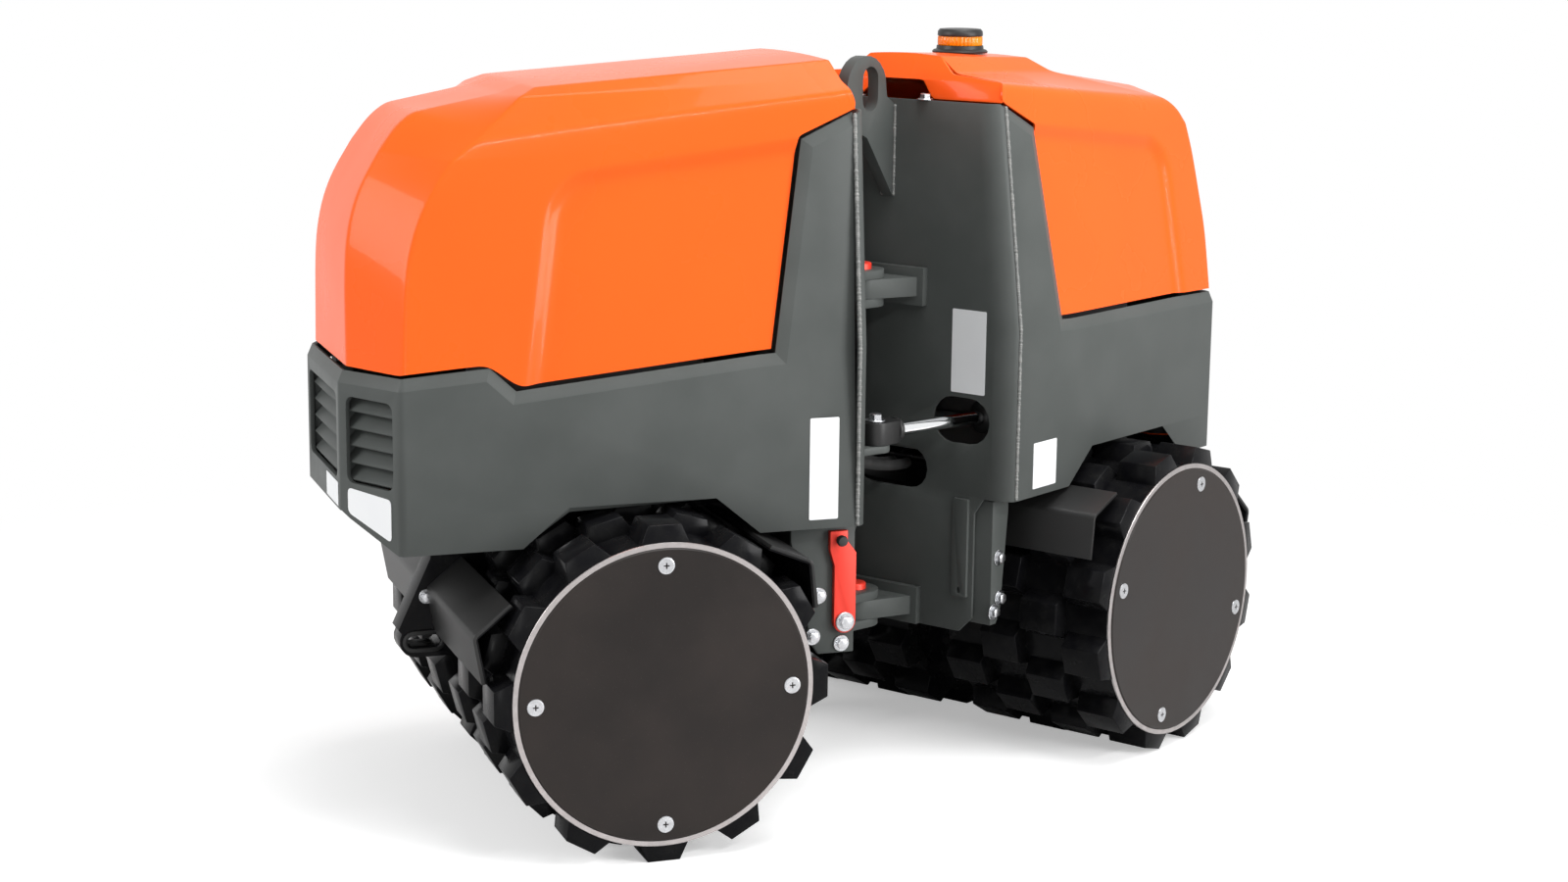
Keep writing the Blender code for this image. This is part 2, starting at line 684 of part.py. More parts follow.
def drum(half, phase):
    """Both drum halves, their end discs and the axle, on an empty on the drum's axis."""
    holder = empty(half.label("drum_axis"), (AXLE_OFFSET, 0, AXLE_HEIGHT), half.holder)
    edge = DRUM_WIDTH / 2
    inner = DRUM_GAP / 2
    web = inner + DRUM_WEB_INSET
    bore = DRUM_RADIUS - DRUM_WALL
    recess = edge - DISC_THICKNESS
    hub = (AXLE_RADIUS + TOUCH) / cos(pi / DRUM_SIDES)
    for sign, word in ((half.near, "near"), (-half.near, "far")):
        profile = [
            (DRUM_RADIUS, sign * inner), (DRUM_RADIUS, sign * edge), (DISC_RADIUS + TOUCH, sign * edge),
            (DISC_RADIUS + TOUCH, sign * recess), (bore, sign * recess), (bore, sign * (web + DRUM_WEB)),
            (hub, sign * (web + DRUM_WEB)), (hub, sign * web),
            (bore, sign * web), (bore, sign * inner),
        ]
        flat_first = phase + pi / DRUM_SIDES
        shell = add(half.label("drum_" + word), turned("drum", profile, DRUM_SIDES, flat_first), "gloss_black", holder)
        unite(shell, cutter(half.label("lugs_" + word), lug_solids(LUG_ROWS, phase, sign), holder))
        low, high = sorted((sign * (recess + TOUCH), sign * (edge + DISC_PROUD)))
        disc = end_disc(DISC_RADIUS, low, high, flat_first)
        add(half.label("disc_" + word), disc, "disc", holder)
    axle = rod("axle", AXLE_RADIUS, (0, -web - 0.05, 0), (0, web + 0.05, 0))
    add(half.label("axle"), axle, "steel", holder)
    return holder


# Each ring of a hood from the seam to the edge of its raised roof panel: heights at the hinge side, at the
# side's corner and at the end; where it starts along X; how far in from the end face its corner and its end
# lie; and its half widths at the side and at the end. The first ring follows the seam instead.
FRONT_RINGS = (
    {"z": (0.0, 0.0, 0.0), "start": 0.270, "corner": 0.085, "end": 0.015, "half": 0.285, "end_half": 0.148},
    {"z": (1.060, 1.060, 1.060), "start": 0.251, "corner": 0.100, "end": 0.018, "half": 0.285, "end_half": 0.146},
    {"z": (1.160, 1.160, 1.160), "start": 0.241, "corner": 0.139, "end": 0.049, "half": 0.285, "end_half": 0.140},
    {"z": (1.233, 1.215, 1.218), "start": 0.234, "corner": 0.172, "end": 0.081, "half": 0.285, "end_half": 0.136},
    {"z": (1.291, 1.235, 1.245), "start": 0.124, "corner": 0.198, "end": 0.100, "half": 0.285, "end_half": 0.133},
    {"z": (1.316, 1.248, 1.265), "start": 0.127, "corner": 0.216, "end": 0.115, "half": 0.285, "end_half": 0.130},
    {"z": (1.326, 1.262, 1.285), "start": 0.130, "corner": 0.236, "end": 0.140, "half": 0.272, "end_half": 0.128},
    {"z": (1.341, 1.315, 1.316), "start": 0.134, "corner": 0.309, "end": 0.296, "half": 0.222, "end_half": 0.126},
    {"z": (1.371, 1.329, 1.331), "start": 0.141, "corner": 0.341, "end": 0.334, "half": 0.194, "end_half": 0.120},
)
REAR_RINGS = (
    {"z": (0.0, 0.0, 0.0), "start": 0.270, "corner": 0.085, "end": 0.015, "half": 0.285, "end_half": 0.148},
    {"z": (1.060, 1.060, 1.060), "start": 0.251, "corner": 0.107, "end": 0.028, "half": 0.285, "end_half": 0.146},
    {"z": (1.160, 1.160, 1.160), "start": 0.241, "corner": 0.163, "end": 0.072, "half": 0.285, "end_half": 0.140},
    {"z": (1.233, 1.212, 1.212), "start": 0.234, "corner": 0.209, "end": 0.120, "half": 0.285, "end_half": 0.136},
    {"z": (1.291, 1.230, 1.232), "start": 0.124, "corner": 0.230, "end": 0.138, "half": 0.285, "end_half": 0.133},
    {"z": (1.303, 1.248, 1.252), "start": 0.127, "corner": 0.258, "end": 0.160, "half": 0.285, "end_half": 0.130},
    {"z": (1.311, 1.258, 1.270), "start": 0.130, "corner": 0.275, "end": 0.185, "half": 0.272, "end_half": 0.128},
    {"z": (1.330, 1.302, 1.316), "start": 0.134, "corner": 0.328, "end": 0.300, "half": 0.150, "end_half": 0.100},
    {"z": (1.368, 1.346, 1.344), "start": 0.141, "corner": 0.398, "end": 0.390, "half": 0.120, "end_half": 0.090},
)
PANEL_RINGS = 4
PANEL_PLACE = 0.154
PANEL_THICKNESS = 0.006
NOTCH_HALF = (0.170, 0.130)
NOTCH_RISE = 0.033
FLANGE_HALF = 0.225


def ring_points(half, row, seam_heights):
    """The points of one ring on one side, from the hinge side to the end."""
    start, corner, end = row["start"], half.face - row["corner"], half.face - row["end"]
    step = half.side_end - STEP_FROM_END
    low_step = min(step - STEP_LENGTH, start + 0.70 * (corner - start))
    high_step = min(step, start + 0.77 * (corner - start))
    xs = [start, low_step, high_step, corner, end]
    if seam_heights:
        heights = seam_heights
    else:
        inner, at_corner, at_end = row["z"]
        heights = [inner + (at_corner - inner) * (x - start) / (corner - start) for x in xs[:4]] + [at_end]
    wide = [row["half"]] * 4 + [row["end_half"]]
    return list(zip(xs, wide, heights))


def hood(half, rows):
    """The hood: one thin shell lofted from its rings, open below and towards the posts."""
    name = half.label("hood")
    lift = HOOD_GAP - 0.001
    seam_heights = [SEAM_INNER + lift, SEAM_HEIGHT + 0.014 - SEAM_STEP + lift, SEAM_HEIGHT + 0.014 + lift,
                    SEAM_HEIGHT + lift, SEAM_HEIGHT + lift]
    bm = bmesh.new()
    loops = []
    for row in rows:
        points = ring_points(half, row, seam_heights if row is rows[0] else None)
        loops.append([bm.verts.new(p) for p in points] + [bm.verts.new((x, -y, z)) for x, y, z in reversed(points)])
    for low, high in zip(loops, loops[1:]):
        for k in range(len(low) - 1):
            bm.faces.new((low[k + 1], low[k], high[k], high[k + 1]))
    crown = loops[-1]
    last = len(crown) - 1
    for k in range(len(crown) // 2 - 1):
        bm.faces.new((crown[k + 1], crown[k], crown[last - k], crown[last - k - 1]))
    mesh = bpy.data.meshes.new(name)
    bmesh.ops.recalc_face_normals(bm, faces=bm.faces)
    bm.to_mesh(mesh)
    bm.free()
    hinge = (half.face - HOOD_HINGE_INSET, 0, SEAM_HEIGHT - HOOD_HINGE_DROP)
    holder = empty(half.label("hood_axis"), hinge, half.holder)
    back = tuple(-c for c in hinge)
    shell = add(name, mesh, "hood", holder, back)
    solidify(shell, HOOD_SHEET)
    unite(shell, *[cutter(half.label(word), mesh, holder, back) for word, mesh in hood_end(rows)])
    return holder


def hood_end(rows):
    """The hood's notched end panel, and the two flanges by which it rests on the hinge wall."""
    skin = HOOD_SHEET / 2
    foot = WALL_TOP + TOUCH
    upper = [(row["half"] - skin, row["z"][0] - skin) for row in rows[PANEL_RINGS + 1:]]
    side = [(NOTCH_HALF[1], foot + NOTCH_RISE), (NOTCH_HALF[0], foot + 0.0012), (rows[0]["half"] - skin, foot + 0.0012)]
    outline = side + upper
    outline += [(-y, z) for y, z in reversed(outline)]
    panel = plate("panel", [outline], "YZ", PANEL_PLACE, PANEL_THICKNESS)
    pieces = [("hood_panel", panel)]
    for side, word in ((1, "left"), (-1, "right")):
        inner, outer = sorted((side * (NOTCH_HALF[0] + 0.003), side * FLANGE_HALF))
        flange = span("flange", (HINGE_WALL + 0.002, inner, foot), (PANEL_PLACE + 0.0002, outer, foot + 0.006))
        pieces.append(("hood_flange_" + word, flange))
    return pieces


def hinge_plate(name, wall, low, high, bore):
    """A tapered plate from the hinge wall to the steering axis, with its bore."""
    nose = arc((0, 0), HINGE_NOSE, 105, 255, 12)
    outline = nose + [(wall, -HINGE_ROOT), (wall, HINGE_ROOT)]
    middle = (low + high) / 2
    return plate(name, [outline, ring((0, 0), bore, 32)], "XY", middle, high - low)


def steering_hinges(front, rear, front_wall):
    """Two hinges: the rear half's thick plate turns between two thin ones welded to the front wall."""
    wall = HINGE_WALL - TOUCH
    for height, word in zip(HINGE_HEIGHTS, ("lower", "upper")):
        low, high = height - LUG_PLATE / 2, height + LUG_PLATE / 2
        eye = hinge_plate("eye", wall, low, high, PIN_RADIUS + PIN_CLEARANCE)
        eye = add("%s_hinge_eye" % word, eye, "chassis", rear.holder)
        foot = span("foot", (wall - HINGE_FOOT["depth"], -HINGE_FOOT["half_width"], height - HINGE_FOOT["half_height"]),
                    (wall, HINGE_FOOT["half_width"], height + HINGE_FOOT["half_height"]))
        unite(eye, cutter("%s_hinge_foot" % word, foot, rear.holder))
        for place, start in (("top", high + FACE_CLEARANCE), ("bottom", low - FACE_CLEARANCE - CLEVIS_PLATE)):
            fork = hinge_plate("fork", HINGE_WALL + WELD_LAND, start, start + CLEVIS_PLATE, PIN_RADIUS + TOUCH)
            unite(front_wall, cutter("%s_hinge_fork_%s" % (word, place), fork, front.holder))
        reach = LUG_PLATE / 2 + FACE_CLEARANCE + CLEVIS_PLATE
        pin = rod("pin", PIN_RADIUS, (0, 0, height - reach - 0.004), (0, 0, height + reach + 0.012))
        add("%s_hinge_pin" % word, pin, "lock_red", front.holder)


def steering_lug(front):
    """Plate on the front hinge wall under the rod's eye."""
    top = CYLINDER_HEIGHT - ROD_END_THICKNESS / 2 - LUG_CLEARANCE
    wall = HINGE_WALL - TOUCH
    y = EYE_PIN[1]
    outline = arc(EYE_PIN, ROD_END_RADIUS, 90, 270, 10) + [(wall, y - LUG_HALF_ROOT), (wall, y + LUG_HALF_ROOT)]
    lug = plate("lug", [outline], "XY", top - STEER_LUG_THICKNESS / 2, STEER_LUG_THICKNESS)
    return add("steering_lug", lug, "steel", front.holder)


def steering_cylinder(rear):
    """Barrel on its stand in the rear half, and the rod whose eye lies on the front half's lug."""
    eye = Matrix.Rotation(-(pi + STEER_ANGLE), 2) @ Vector(EYE_PIN)
    reach = eye - Vector(BASE_PIN)
    length = reach.length
    base = (*BASE_PIN, CYLINDER_HEIGHT)
    holder = empty("cylinder_axis", base, rear.holder, atan2(reach.y, reach.x))

    barrel = rod("barrel", CYLINDER_RADIUS, (0, 0, 0), (BARREL_LENGTH, 0, 0), 32)
    barrel = add("cylinder_barrel", barrel, "gloss_black", holder)
    boss = rod("boss", BOSS_RADIUS, (0, 0, -BOSS_HALF), (0, 0, BOSS_HALF), 32)
    unite(barrel, cutter("cylinder_boss", boss, holder))
    bore = rod("bore", ROD_RADIUS + TOUCH, (BORE_BOTTOM, 0, 0), (BARREL_LENGTH + 0.1, 0, 0), 24)
    pin_hole = rod("pin_hole", BASE_PIN_RADIUS + TOUCH, (0, 0, -0.1), (0, 0, 0.1), 24)
    subtract(barrel, cutter("cylinder_bore", bore, holder), cutter("cylinder_pin_hole", pin_hole, holder))

    stem = rod("rod", ROD_RADIUS, (BARREL_LENGTH - ROD_ENGAGED, 0, 0), (length - 0.02, 0, 0), 24)
    stem = add("cylinder_rod", stem, "chrome", holder)
    collar = rod("collar", COLLAR_RADIUS, (length - COLLAR_LENGTH, 0, 0), (length - 0.015, 0, 0), 24)
    half_eye = ROD_END_THICKNESS / 2
    end = rod("end", ROD_END_RADIUS, (length, 0, -half_eye), (length, 0, half_eye), 32)
    unite(stem, cutter("rod_end", end, holder), cutter("rod_collar", collar, holder))

    low = DECK_BOTTOM + DECK_THICKNESS + TOUCH - CYLINDER_HEIGHT
    high = -BOSS_HALF - TOUCH
    foot = rod("foot", BOSS_RADIUS, (0, 0, low), (0, 0, high), 32)
    stand = add("cylinder_stand", foot, "chassis", rear.holder, base)
    pin = rod("pin", BASE_PIN_RADIUS, (0, 0, high - 0.005), (0, 0, BOSS_HALF + 0.008), 24)
    unite(stand, cutter("cylinder_base_pin", pin, rear.holder, base))


def lifting_eye(rear):
    """Upright plate from the rear hinge wall to above the steering axis, with a slotted eye."""
    wall = HINGE_WALL - TOUCH
    outline = [(wall, 1.100), (wall, WALL_TOP - 0.01), (0.060, WALL_TOP + 0.005)]
    outline += arc((-0.003, 1.305), 0.062, 20, 170, 10)
    outline += [(-0.060, 1.240), (0.000, 1.215), (0.055, 1.140)]
    hole = [(u, v) for v, u in slot((1.305, 0.008), 0.018, 0.024, 8)]
    mesh = plate("lifting_eye", [outline, list(reversed(hole))], "XZ", 0.0, EYE_PLATE)
    return add("lifting_eye", mesh, "chassis", rear.holder)


def beacon(hood_holder):
    """Round base, amber lens and cap on the rear hood's raised panel, square to its slope."""
    edge = REAR_RINGS[-1]
    length = REAR_SIDE_END + CHAMFER_LENGTH - edge["corner"] - edge["start"]
    share = (BEACON_OFFSET - BEACON_BASE_RADIUS - edge["start"]) / length
    roof = edge["z"][0] + (edge["z"][1] - edge["z"][0]) * share + TOUCH
    shift = Vector((BEACON_OFFSET, 0, roof)) - hood_holder.location
    for row in BEACON_PIECES:
        piece = rod(row["name"], row["radius"], (0, 0, row["low"]), (0, 0, row["high"]), 32)
        add(row["name"], piece, row["slot"], hood_holder, tuple(shift))


def hoses(front, rear):
    """Two hydraulic hoses from the front hinge wall to the opening in the rear one."""
    back = Matrix.Rotation(pi + STEER_ANGLE, 2)
    start_x = HINGE_WALL - TOUCH
    for k, (y, z) in enumerate(HOSE_STARTS):
        end = back @ Vector((HINGE_WALL + 0.03, HOSE_END[0] - HOSE_PITCH * k))
        lead = back @ Vector((0.02, HOSE_END[0] - HOSE_PITCH * k))
        route = [Vector((start_x - HOSE_STUB, y, z)), Vector((start_x - 0.05, y, z)),
                 Vector((lead.x, lead.y, HOSE_END[1])), Vector((end.x, end.y, HOSE_END[1]))]
        add("hose_%d" % (k + 1), hose_mesh(Vector((start_x, y, z)), route), "rubber", front.holder)


def hose_mesh(start, route, steps=10):
    """A round hose: a short straight stub, then a cubic curve through four control points."""
    a, b, c, d = route
    curve = bpy.data.curves.new("hose", "CURVE")
    curve.dimensions = "3D"
    curve.bevel_depth = HOSE_RADIUS
    curve.bevel_resolution = 2
    curve.use_fill_caps = True
    spline = curve.splines.new("POLY")
    spline.points.add(steps + 1)
    spline.points[0].co = (*start, 1.0)
    for k, point in enumerate(spline.points[1:]):
        t = k / steps
        s = 1 - t
        point.co = (*(a * s ** 3 + b * 3 * s * s * t + c * 3 * s * t * t + d * t ** 3), 1.0)
    drawn = bpy.data.objects.new("hose", curve)
    bpy.context.scene.collection.objects.link(drawn)
    bpy.context.view_layer.update()
    mesh = bpy.data.meshes.new_from_object(drawn.evaluated_get(bpy.context.evaluated_depsgraph_get()))
    bpy.data.objects.remove(drawn, do_unlink=True)
    bm = bmesh.new()
    bm.from_mesh(mesh)
    bpy.data.meshes.remove(mesh)
    bmesh.ops.remove_doubles(bm, verts=bm.verts, dist=0.00001)
    return to_mesh(bm, "hose")


def lock_bar(front):
    """Flat red bar on the near leg plate that swings out to lock the steering."""
    y = LEG_HALF_WIDTH + TOUCH + 0.006
    pivot = (0.120, y, 0.361)
    holder = empty("lock_bar_axis", pivot, front.holder)
    outline = arc((0, 0), 0.021, 180, 360, 10)
    outline += [(0.021, 0.105), (0.030, 0.135), (0.030, 0.170), (-0.004, 0.170), (-0.004, 0.150), (-0.021, 0.128)]
    mesh = plate("lock_bar", [outline, ring((0, 0), 0.0085, 20)], "XZ", 0.0, 0.012)
    add("lock_bar", mesh, "lock_red", holder)
    head = rod("head", 0.013, (0, 0.0066, 0), (0, 0.014, 0), 6)
    bolt = add("lock_bar_bolt", head, "steel", front.holder, pivot)
    shank = rod("shank", 0.008, (0, -0.006 - 0.0002, 0), (0, 0.010, 0), 20)
    unite(bolt, cutter("lock_bar_shank", shank, front.holder, pivot))


def build():
    machine = empty("machine", ORIGIN_SHIFT)
    front = Half("front", empty("front_half", (0, 0, 0), machine), 1, FRONT_SIDE_END, FRONT_LEG_DEPTH)
    turn = pi + STEER_ANGLE
    rear = Half("rear", empty("rear_half", (0, 0, 0), machine, turn), -1, REAR_SIDE_END, REAR_LEG_DEPTH)
    walls = {}
    for half in (front, rear):
        chassis_shell(half)
        louvre_grille(half)
        walls[half.name] = hinge_wall(half)
        leg_box(half)
        deck(half)
        yoke(half)
    drum(front, 0.0)
    drum(rear, radians(15))
    steering_hinges(front, rear, walls["front"])
    steering_lug(front)
    steering_cylinder(rear)
    lifting_eye(rear)
    lock_bar(front)
    for name, space, half in (("engine_block", ENGINE_SPACE, front), ("tank_block", TANK_SPACE, rear)):
        floor = DECK_BOTTOM + DECK_THICKNESS + TOUCH
        low = (space["inner"], -space["half"], floor)
        high = (space["outer"], space["half"], floor + space["height"])
        add(name, span(name, low, high), "engine", half.holder)
    hood(front, FRONT_RINGS)
    beacon(hood(rear, REAR_RINGS))
    hoses(front, rear)
    bpy.context.view_layer.update()


build()
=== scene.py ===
"""Looks of the articulated trench roller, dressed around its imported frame.

Lengths are metres in the frame's own axes. Each half of the machine also has axes of its own: their origin is on
the steering axis at the ground, +X points out to that half's end and +Z up. HalfFrame.place puts what is modelled
in those axes into the frame.
"""

import json
import logging
from dataclasses import dataclass, field
from enum import Enum
from functools import cache
from math import atan2, cos, hypot, pi, radians, sin

import bmesh
import bpy
from mathutils import Matrix, Vector

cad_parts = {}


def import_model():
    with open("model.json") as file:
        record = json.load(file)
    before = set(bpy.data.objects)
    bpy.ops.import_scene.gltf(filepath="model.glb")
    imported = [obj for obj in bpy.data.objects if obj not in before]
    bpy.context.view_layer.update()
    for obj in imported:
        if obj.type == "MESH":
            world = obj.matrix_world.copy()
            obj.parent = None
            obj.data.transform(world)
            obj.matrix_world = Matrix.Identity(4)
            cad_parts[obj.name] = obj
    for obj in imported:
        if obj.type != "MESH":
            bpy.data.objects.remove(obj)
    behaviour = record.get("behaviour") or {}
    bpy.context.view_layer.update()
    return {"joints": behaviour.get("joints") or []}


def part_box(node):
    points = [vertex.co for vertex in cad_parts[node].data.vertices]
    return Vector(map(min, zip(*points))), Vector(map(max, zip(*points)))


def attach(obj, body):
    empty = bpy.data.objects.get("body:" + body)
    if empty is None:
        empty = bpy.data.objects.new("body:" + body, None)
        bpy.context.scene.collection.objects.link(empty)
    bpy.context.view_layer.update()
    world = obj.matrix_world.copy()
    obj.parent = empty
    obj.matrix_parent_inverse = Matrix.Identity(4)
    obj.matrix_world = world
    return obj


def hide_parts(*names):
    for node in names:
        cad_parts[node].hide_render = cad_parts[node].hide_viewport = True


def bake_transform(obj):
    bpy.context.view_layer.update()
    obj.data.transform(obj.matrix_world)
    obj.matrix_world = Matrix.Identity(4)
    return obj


LOG = logging.getLogger("trench_roller")
MERGE = 0.00001

Colour = tuple[float, float, float]
Point2 = tuple[float, float]
Point3 = tuple[float, float, float]


class Side(Enum):
    """A side of a half frame, as the sign of its Y."""

    LEFT = 1
    RIGHT = -1

    @property
    def word(self) -> str:
        """The side's name in lower case."""
        return self.name.lower()


class Axis(Enum):
    """The axis that a turned piece or a plate's thickness lies on, as the turn that brings +Z there."""

    X = Matrix(((0, 0, 1, 0), (1, 0, 0, 0), (0, 1, 0, 0), (0, 0, 0, 1)))
    Y = Matrix(((1, 0, 0, 0), (0, 0, -1, 0), (0, 1, 0, 0), (0, 0, 0, 1)))


# Node trees


def titled(key: str) -> str:
    """Turn an argument's name into a socket's label."""
    return key.replace("_", " ").title()


def add_sockets(tree: bpy.types.NodeTree, in_out: str, **kinds: str) -> None:
    """Add named sockets to a tree.

    Args:
        tree: The tree.
        in_out: INPUT or OUTPUT.
        **kinds: Each socket's kind, by its label in lower case with _ for a space.
    """
    for key, kind in kinds.items():
        tree.interface.new_socket(titled(key), in_out=in_out, socket_type="NodeSocket" + kind)


def set_inputs(tree: bpy.types.NodeTree, node: bpy.types.Node, values: dict[str, object]) -> None:
    """Set a node's inputs.

    Args:
        tree: The tree that it is in.
        node: The node.
        values: A plain value or another node's socket for each input, by label.
    """
    for label, value in values.items():
        if isinstance(value, bpy.types.NodeSocket):
            tree.links.new(value, node.inputs[label])
        else:
            node.inputs[label].default_value = value


def add_node(tree: bpy.types.NodeTree, kind: str, values: dict[str, object] | None = None,
             **settings: object) -> bpy.types.Node:
    """Add a node.

    Args:
        tree: The tree that it goes in.
        kind: Its type.
        values: A plain value or another node's socket for each input, by label.
        **settings: The node's own settings.

    Returns:
        The new node.
    """
    node = tree.nodes.new(kind)
    for key, value in settings.items():
        setattr(node, key, value)
    set_inputs(tree, node, values or {})
    return node


def calculate(tree: bpy.types.NodeTree, operation: str, *values: object) -> bpy.types.NodeSocket:
    """Add one Math node.

    Args:
        tree: The tree that it goes in.
        operation: The Math node's operation.
        *values: Numbers or sockets for its inputs, in order.

    Returns:
        The result's socket.
    """
    node = add_node(tree, "ShaderNodeMath", operation=operation)
    set_inputs(tree, node, dict(enumerate(values)))
    return node.outputs[0]


# Surface effects and finishes

CLOUD_EDGES = (0.38, 0.66)
DUST = (0.55, 0.53, 0.50, 1.0)
DUST_SCALE = 190.0
DUST_EDGES = (0.10, 0.04)
COAT_ROUGHNESS = 0.04


@cache
def skin_group() -> bpy.types.NodeTree:
    """Give the shader group that every finish shares, building it once.

    Returns:
        A group that turns object coordinates into a clouded and speckled colour, a roughness and a grain height.
    """
    tree = bpy.data.node_groups.new("surface_skin", "ShaderNodeTree")
    add_sockets(tree, "INPUT", vector="Vector", base="Color", cloud="Color", cloud_scale="Float",
                cloud_amount="Float", grain_scale="Float", speck_amount="Float", rough="Float", rough_spread="Float")
    add_sockets(tree, "OUTPUT", color="Color", roughness="Float", height="Float")
    given = add_node(tree, "NodeGroupInput").outputs
    where = given["Vector"]
    cloud = add_node(tree, "ShaderNodeTexNoise", {"Vector": where, "Scale": given["Cloud Scale"], "Detail": 5.0})
    spread = add_node(tree, "ShaderNodeMapRange", {"Value": cloud.outputs["Fac"], "From Min": CLOUD_EDGES[0],
                                                   "From Max": CLOUD_EDGES[1]}).outputs["Result"]
    share = calculate(tree, "MULTIPLY", spread, given["Cloud Amount"])
    clouded = add_node(tree, "ShaderNodeMix", {"Factor": share, "A": given["Base"], "B": given["Cloud"]},
                       data_type="RGBA")
    specks = add_node(tree, "ShaderNodeTexVoronoi", {"Vector": where, "Scale": DUST_SCALE})
    spot = add_node(tree, "ShaderNodeMapRange", {"Value": specks.outputs["Distance"], "From Min": DUST_EDGES[0],
                                                 "From Max": DUST_EDGES[1]})
    dusty = calculate(tree, "MULTIPLY", spot.outputs["Result"], given["Speck Amount"])
    speckled = add_node(tree, "ShaderNodeMix", {"Factor": dusty, "A": clouded.outputs["Result"],
                                                "B": DUST}, data_type="RGBA")
    grain = add_node(tree, "ShaderNodeTexNoise", {"Vector": where, "Scale": given["Grain Scale"], "Detail": 3.0})
    rough = calculate(tree, "MULTIPLY_ADD", spread, given["Rough Spread"], given["Rough"])
    add_node(tree, "NodeGroupOutput", {"Color": speckled.outputs["Result"], "Roughness": rough,
                                       "Height": grain.outputs["Fac"]})
    return tree


@dataclass(frozen=True)
class Finish:
    """A paint, metal, rubber or lens, as values for the shared skin and for its own shader.

    Attributes:
        name: The material's name.
        slot: The record's slot for pieces with this finish; it is not used.
        base: Main colour.
        cloud: Colour that soft patches tend to.
        rough: Roughness at its lowest.
        rough_spread: What patches add to the roughness.
        cloud_scale: How many patches there are in a metre.
        cloud_amount: How far patches go to their colour.
        grain_scale: How many grains there are in a metre.
        grain_depth: Height of the grain.
        grain_strength: How strongly the grain turns the light.
        speck: How light the dust specks are.
        metallic: 1 for bare metal.
        coat: Weight of a clear coat.
        transmission: 1 for a clear lens.
        specular: Strength of the plain reflection, 0.5 for most things.
    """

    name: str
    slot: str
    base: Colour
    cloud: Colour
    rough: float
    rough_spread: float = 0.05
    cloud_scale: float = 7.0
    cloud_amount: float = 0.5
    grain_scale: float = 700.0
    grain_depth: float = 0.0002
    grain_strength: float = 0.15
    speck: float = 0.0
    metallic: float = 0.0
    coat: float = 0.0
    transmission: float = 0.0
    specular: float = 0.5

    def material(self) -> bpy.types.Material:
        """Give the material of this name, the frame's own if it has one, and build it if there is none yet."""
        found = bpy.data.materials.get(self.name)
        if found:
            return found
        made = bpy.data.materials.new(self.name)
        made.use_nodes = True
        tree = made.node_tree
        where = add_node(tree, "ShaderNodeTexCoord").outputs["Object"]
        skin = add_node(tree, "ShaderNodeGroup", {
            "Vector": where, "Base": (*self.base, 1.0), "Cloud": (*self.cloud, 1.0), "Cloud Scale": self.cloud_scale,
            "Cloud Amount": self.cloud_amount, "Grain Scale": self.grain_scale, "Speck Amount": self.speck,
            "Rough": self.rough, "Rough Spread": self.rough_spread}, node_tree=skin_group()).outputs
        bump = add_node(tree, "ShaderNodeBump", {"Strength": self.grain_strength, "Distance": self.grain_depth,
                                                 "Height": skin["Height"]})
        set_inputs(tree, tree.nodes["Principled BSDF"], {
            "Metallic": self.metallic, "Coat Weight": self.coat, "Coat Roughness": COAT_ROUGHNESS,
            "Transmission Weight": self.transmission, "Specular IOR Level": self.specular,
            "Base Color": skin["Color"], "Roughness": skin["Roughness"], "Normal": bump.outputs["Normal"]})
        return made


# The frame brings its own gloss_black and lock_red, so the values of those two only serve a frame without them
HOOD_ORANGE = Finish("hood_orange", "hood", (1.0, 0.112, 0.012), (0.95, 0.100, 0.010), 0.26, 0.05, 3.0, 0.5,
                     260.0, 0.0002, 0.04, coat=0.10, specular=0.08)
CHASSIS_GREY = Finish("chassis_grey", "chassis", (0.066, 0.072, 0.069), (0.078, 0.084, 0.081), 0.40, 0.08, 9.0, 0.8,
                      420.0, 0.0003, 0.22, speck=0.06, specular=0.14)
CAST_BLACK = Finish("cast_black", "gloss_black", (0.005, 0.005, 0.006), (0.010, 0.010, 0.010), 0.17, 0.12, 30.0, 0.7,
                    420.0, 0.0003, 0.10, speck=0.03, specular=0.07)
GLOSS_BLACK = Finish("gloss_black", "gloss_black", (0.006, 0.006, 0.007), (0.010, 0.010, 0.010), 0.16, 0.08, 20.0,
                     0.6, 300.0, 0.0003, 0.12, coat=0.08, specular=0.18)
DISC_BROWN = Finish("disc_brown", "disc", (0.0145, 0.0115, 0.0105), (0.022, 0.0170, 0.0150), 0.34, 0.14, 5.0, 0.9,
                    240.0, 0.0002, 0.10, speck=0.08, specular=0.22)
MACHINED_STEEL = Finish("machined_steel", "steel", (0.44, 0.41, 0.405), (0.34, 0.315, 0.31), 0.30, 0.12, 60.0, 0.7,
                        900.0, 0.0002, 0.20, metallic=1.0)
ZINC = Finish("zinc_plate", "steel", (0.56, 0.57, 0.59), (0.42, 0.42, 0.43), 0.24, 0.14, 90.0, 0.7,
              900.0, 0.0002, 0.10, metallic=1.0)
CHROME = Finish("hard_chrome", "chrome", (0.86, 0.87, 0.88), (0.80, 0.81, 0.82), 0.06, 0.03, 10.0, 0.5,
                1500.0, 0.0001, 0.03, metallic=1.0)
RUBBER = Finish("rubber_black", "rubber", (0.010, 0.010, 0.010), (0.020, 0.020, 0.019), 0.55, 0.15, 30.0, 0.6,
                900.0, 0.0004, 0.30)
LOCK_RED = Finish("lock_red", "lock_red", (0.80, 0.036, 0.020), (0.66, 0.028, 0.016), 0.28, 0.08, 20.0, 0.6,
                  420.0, 0.0003, 0.12, coat=0.4)
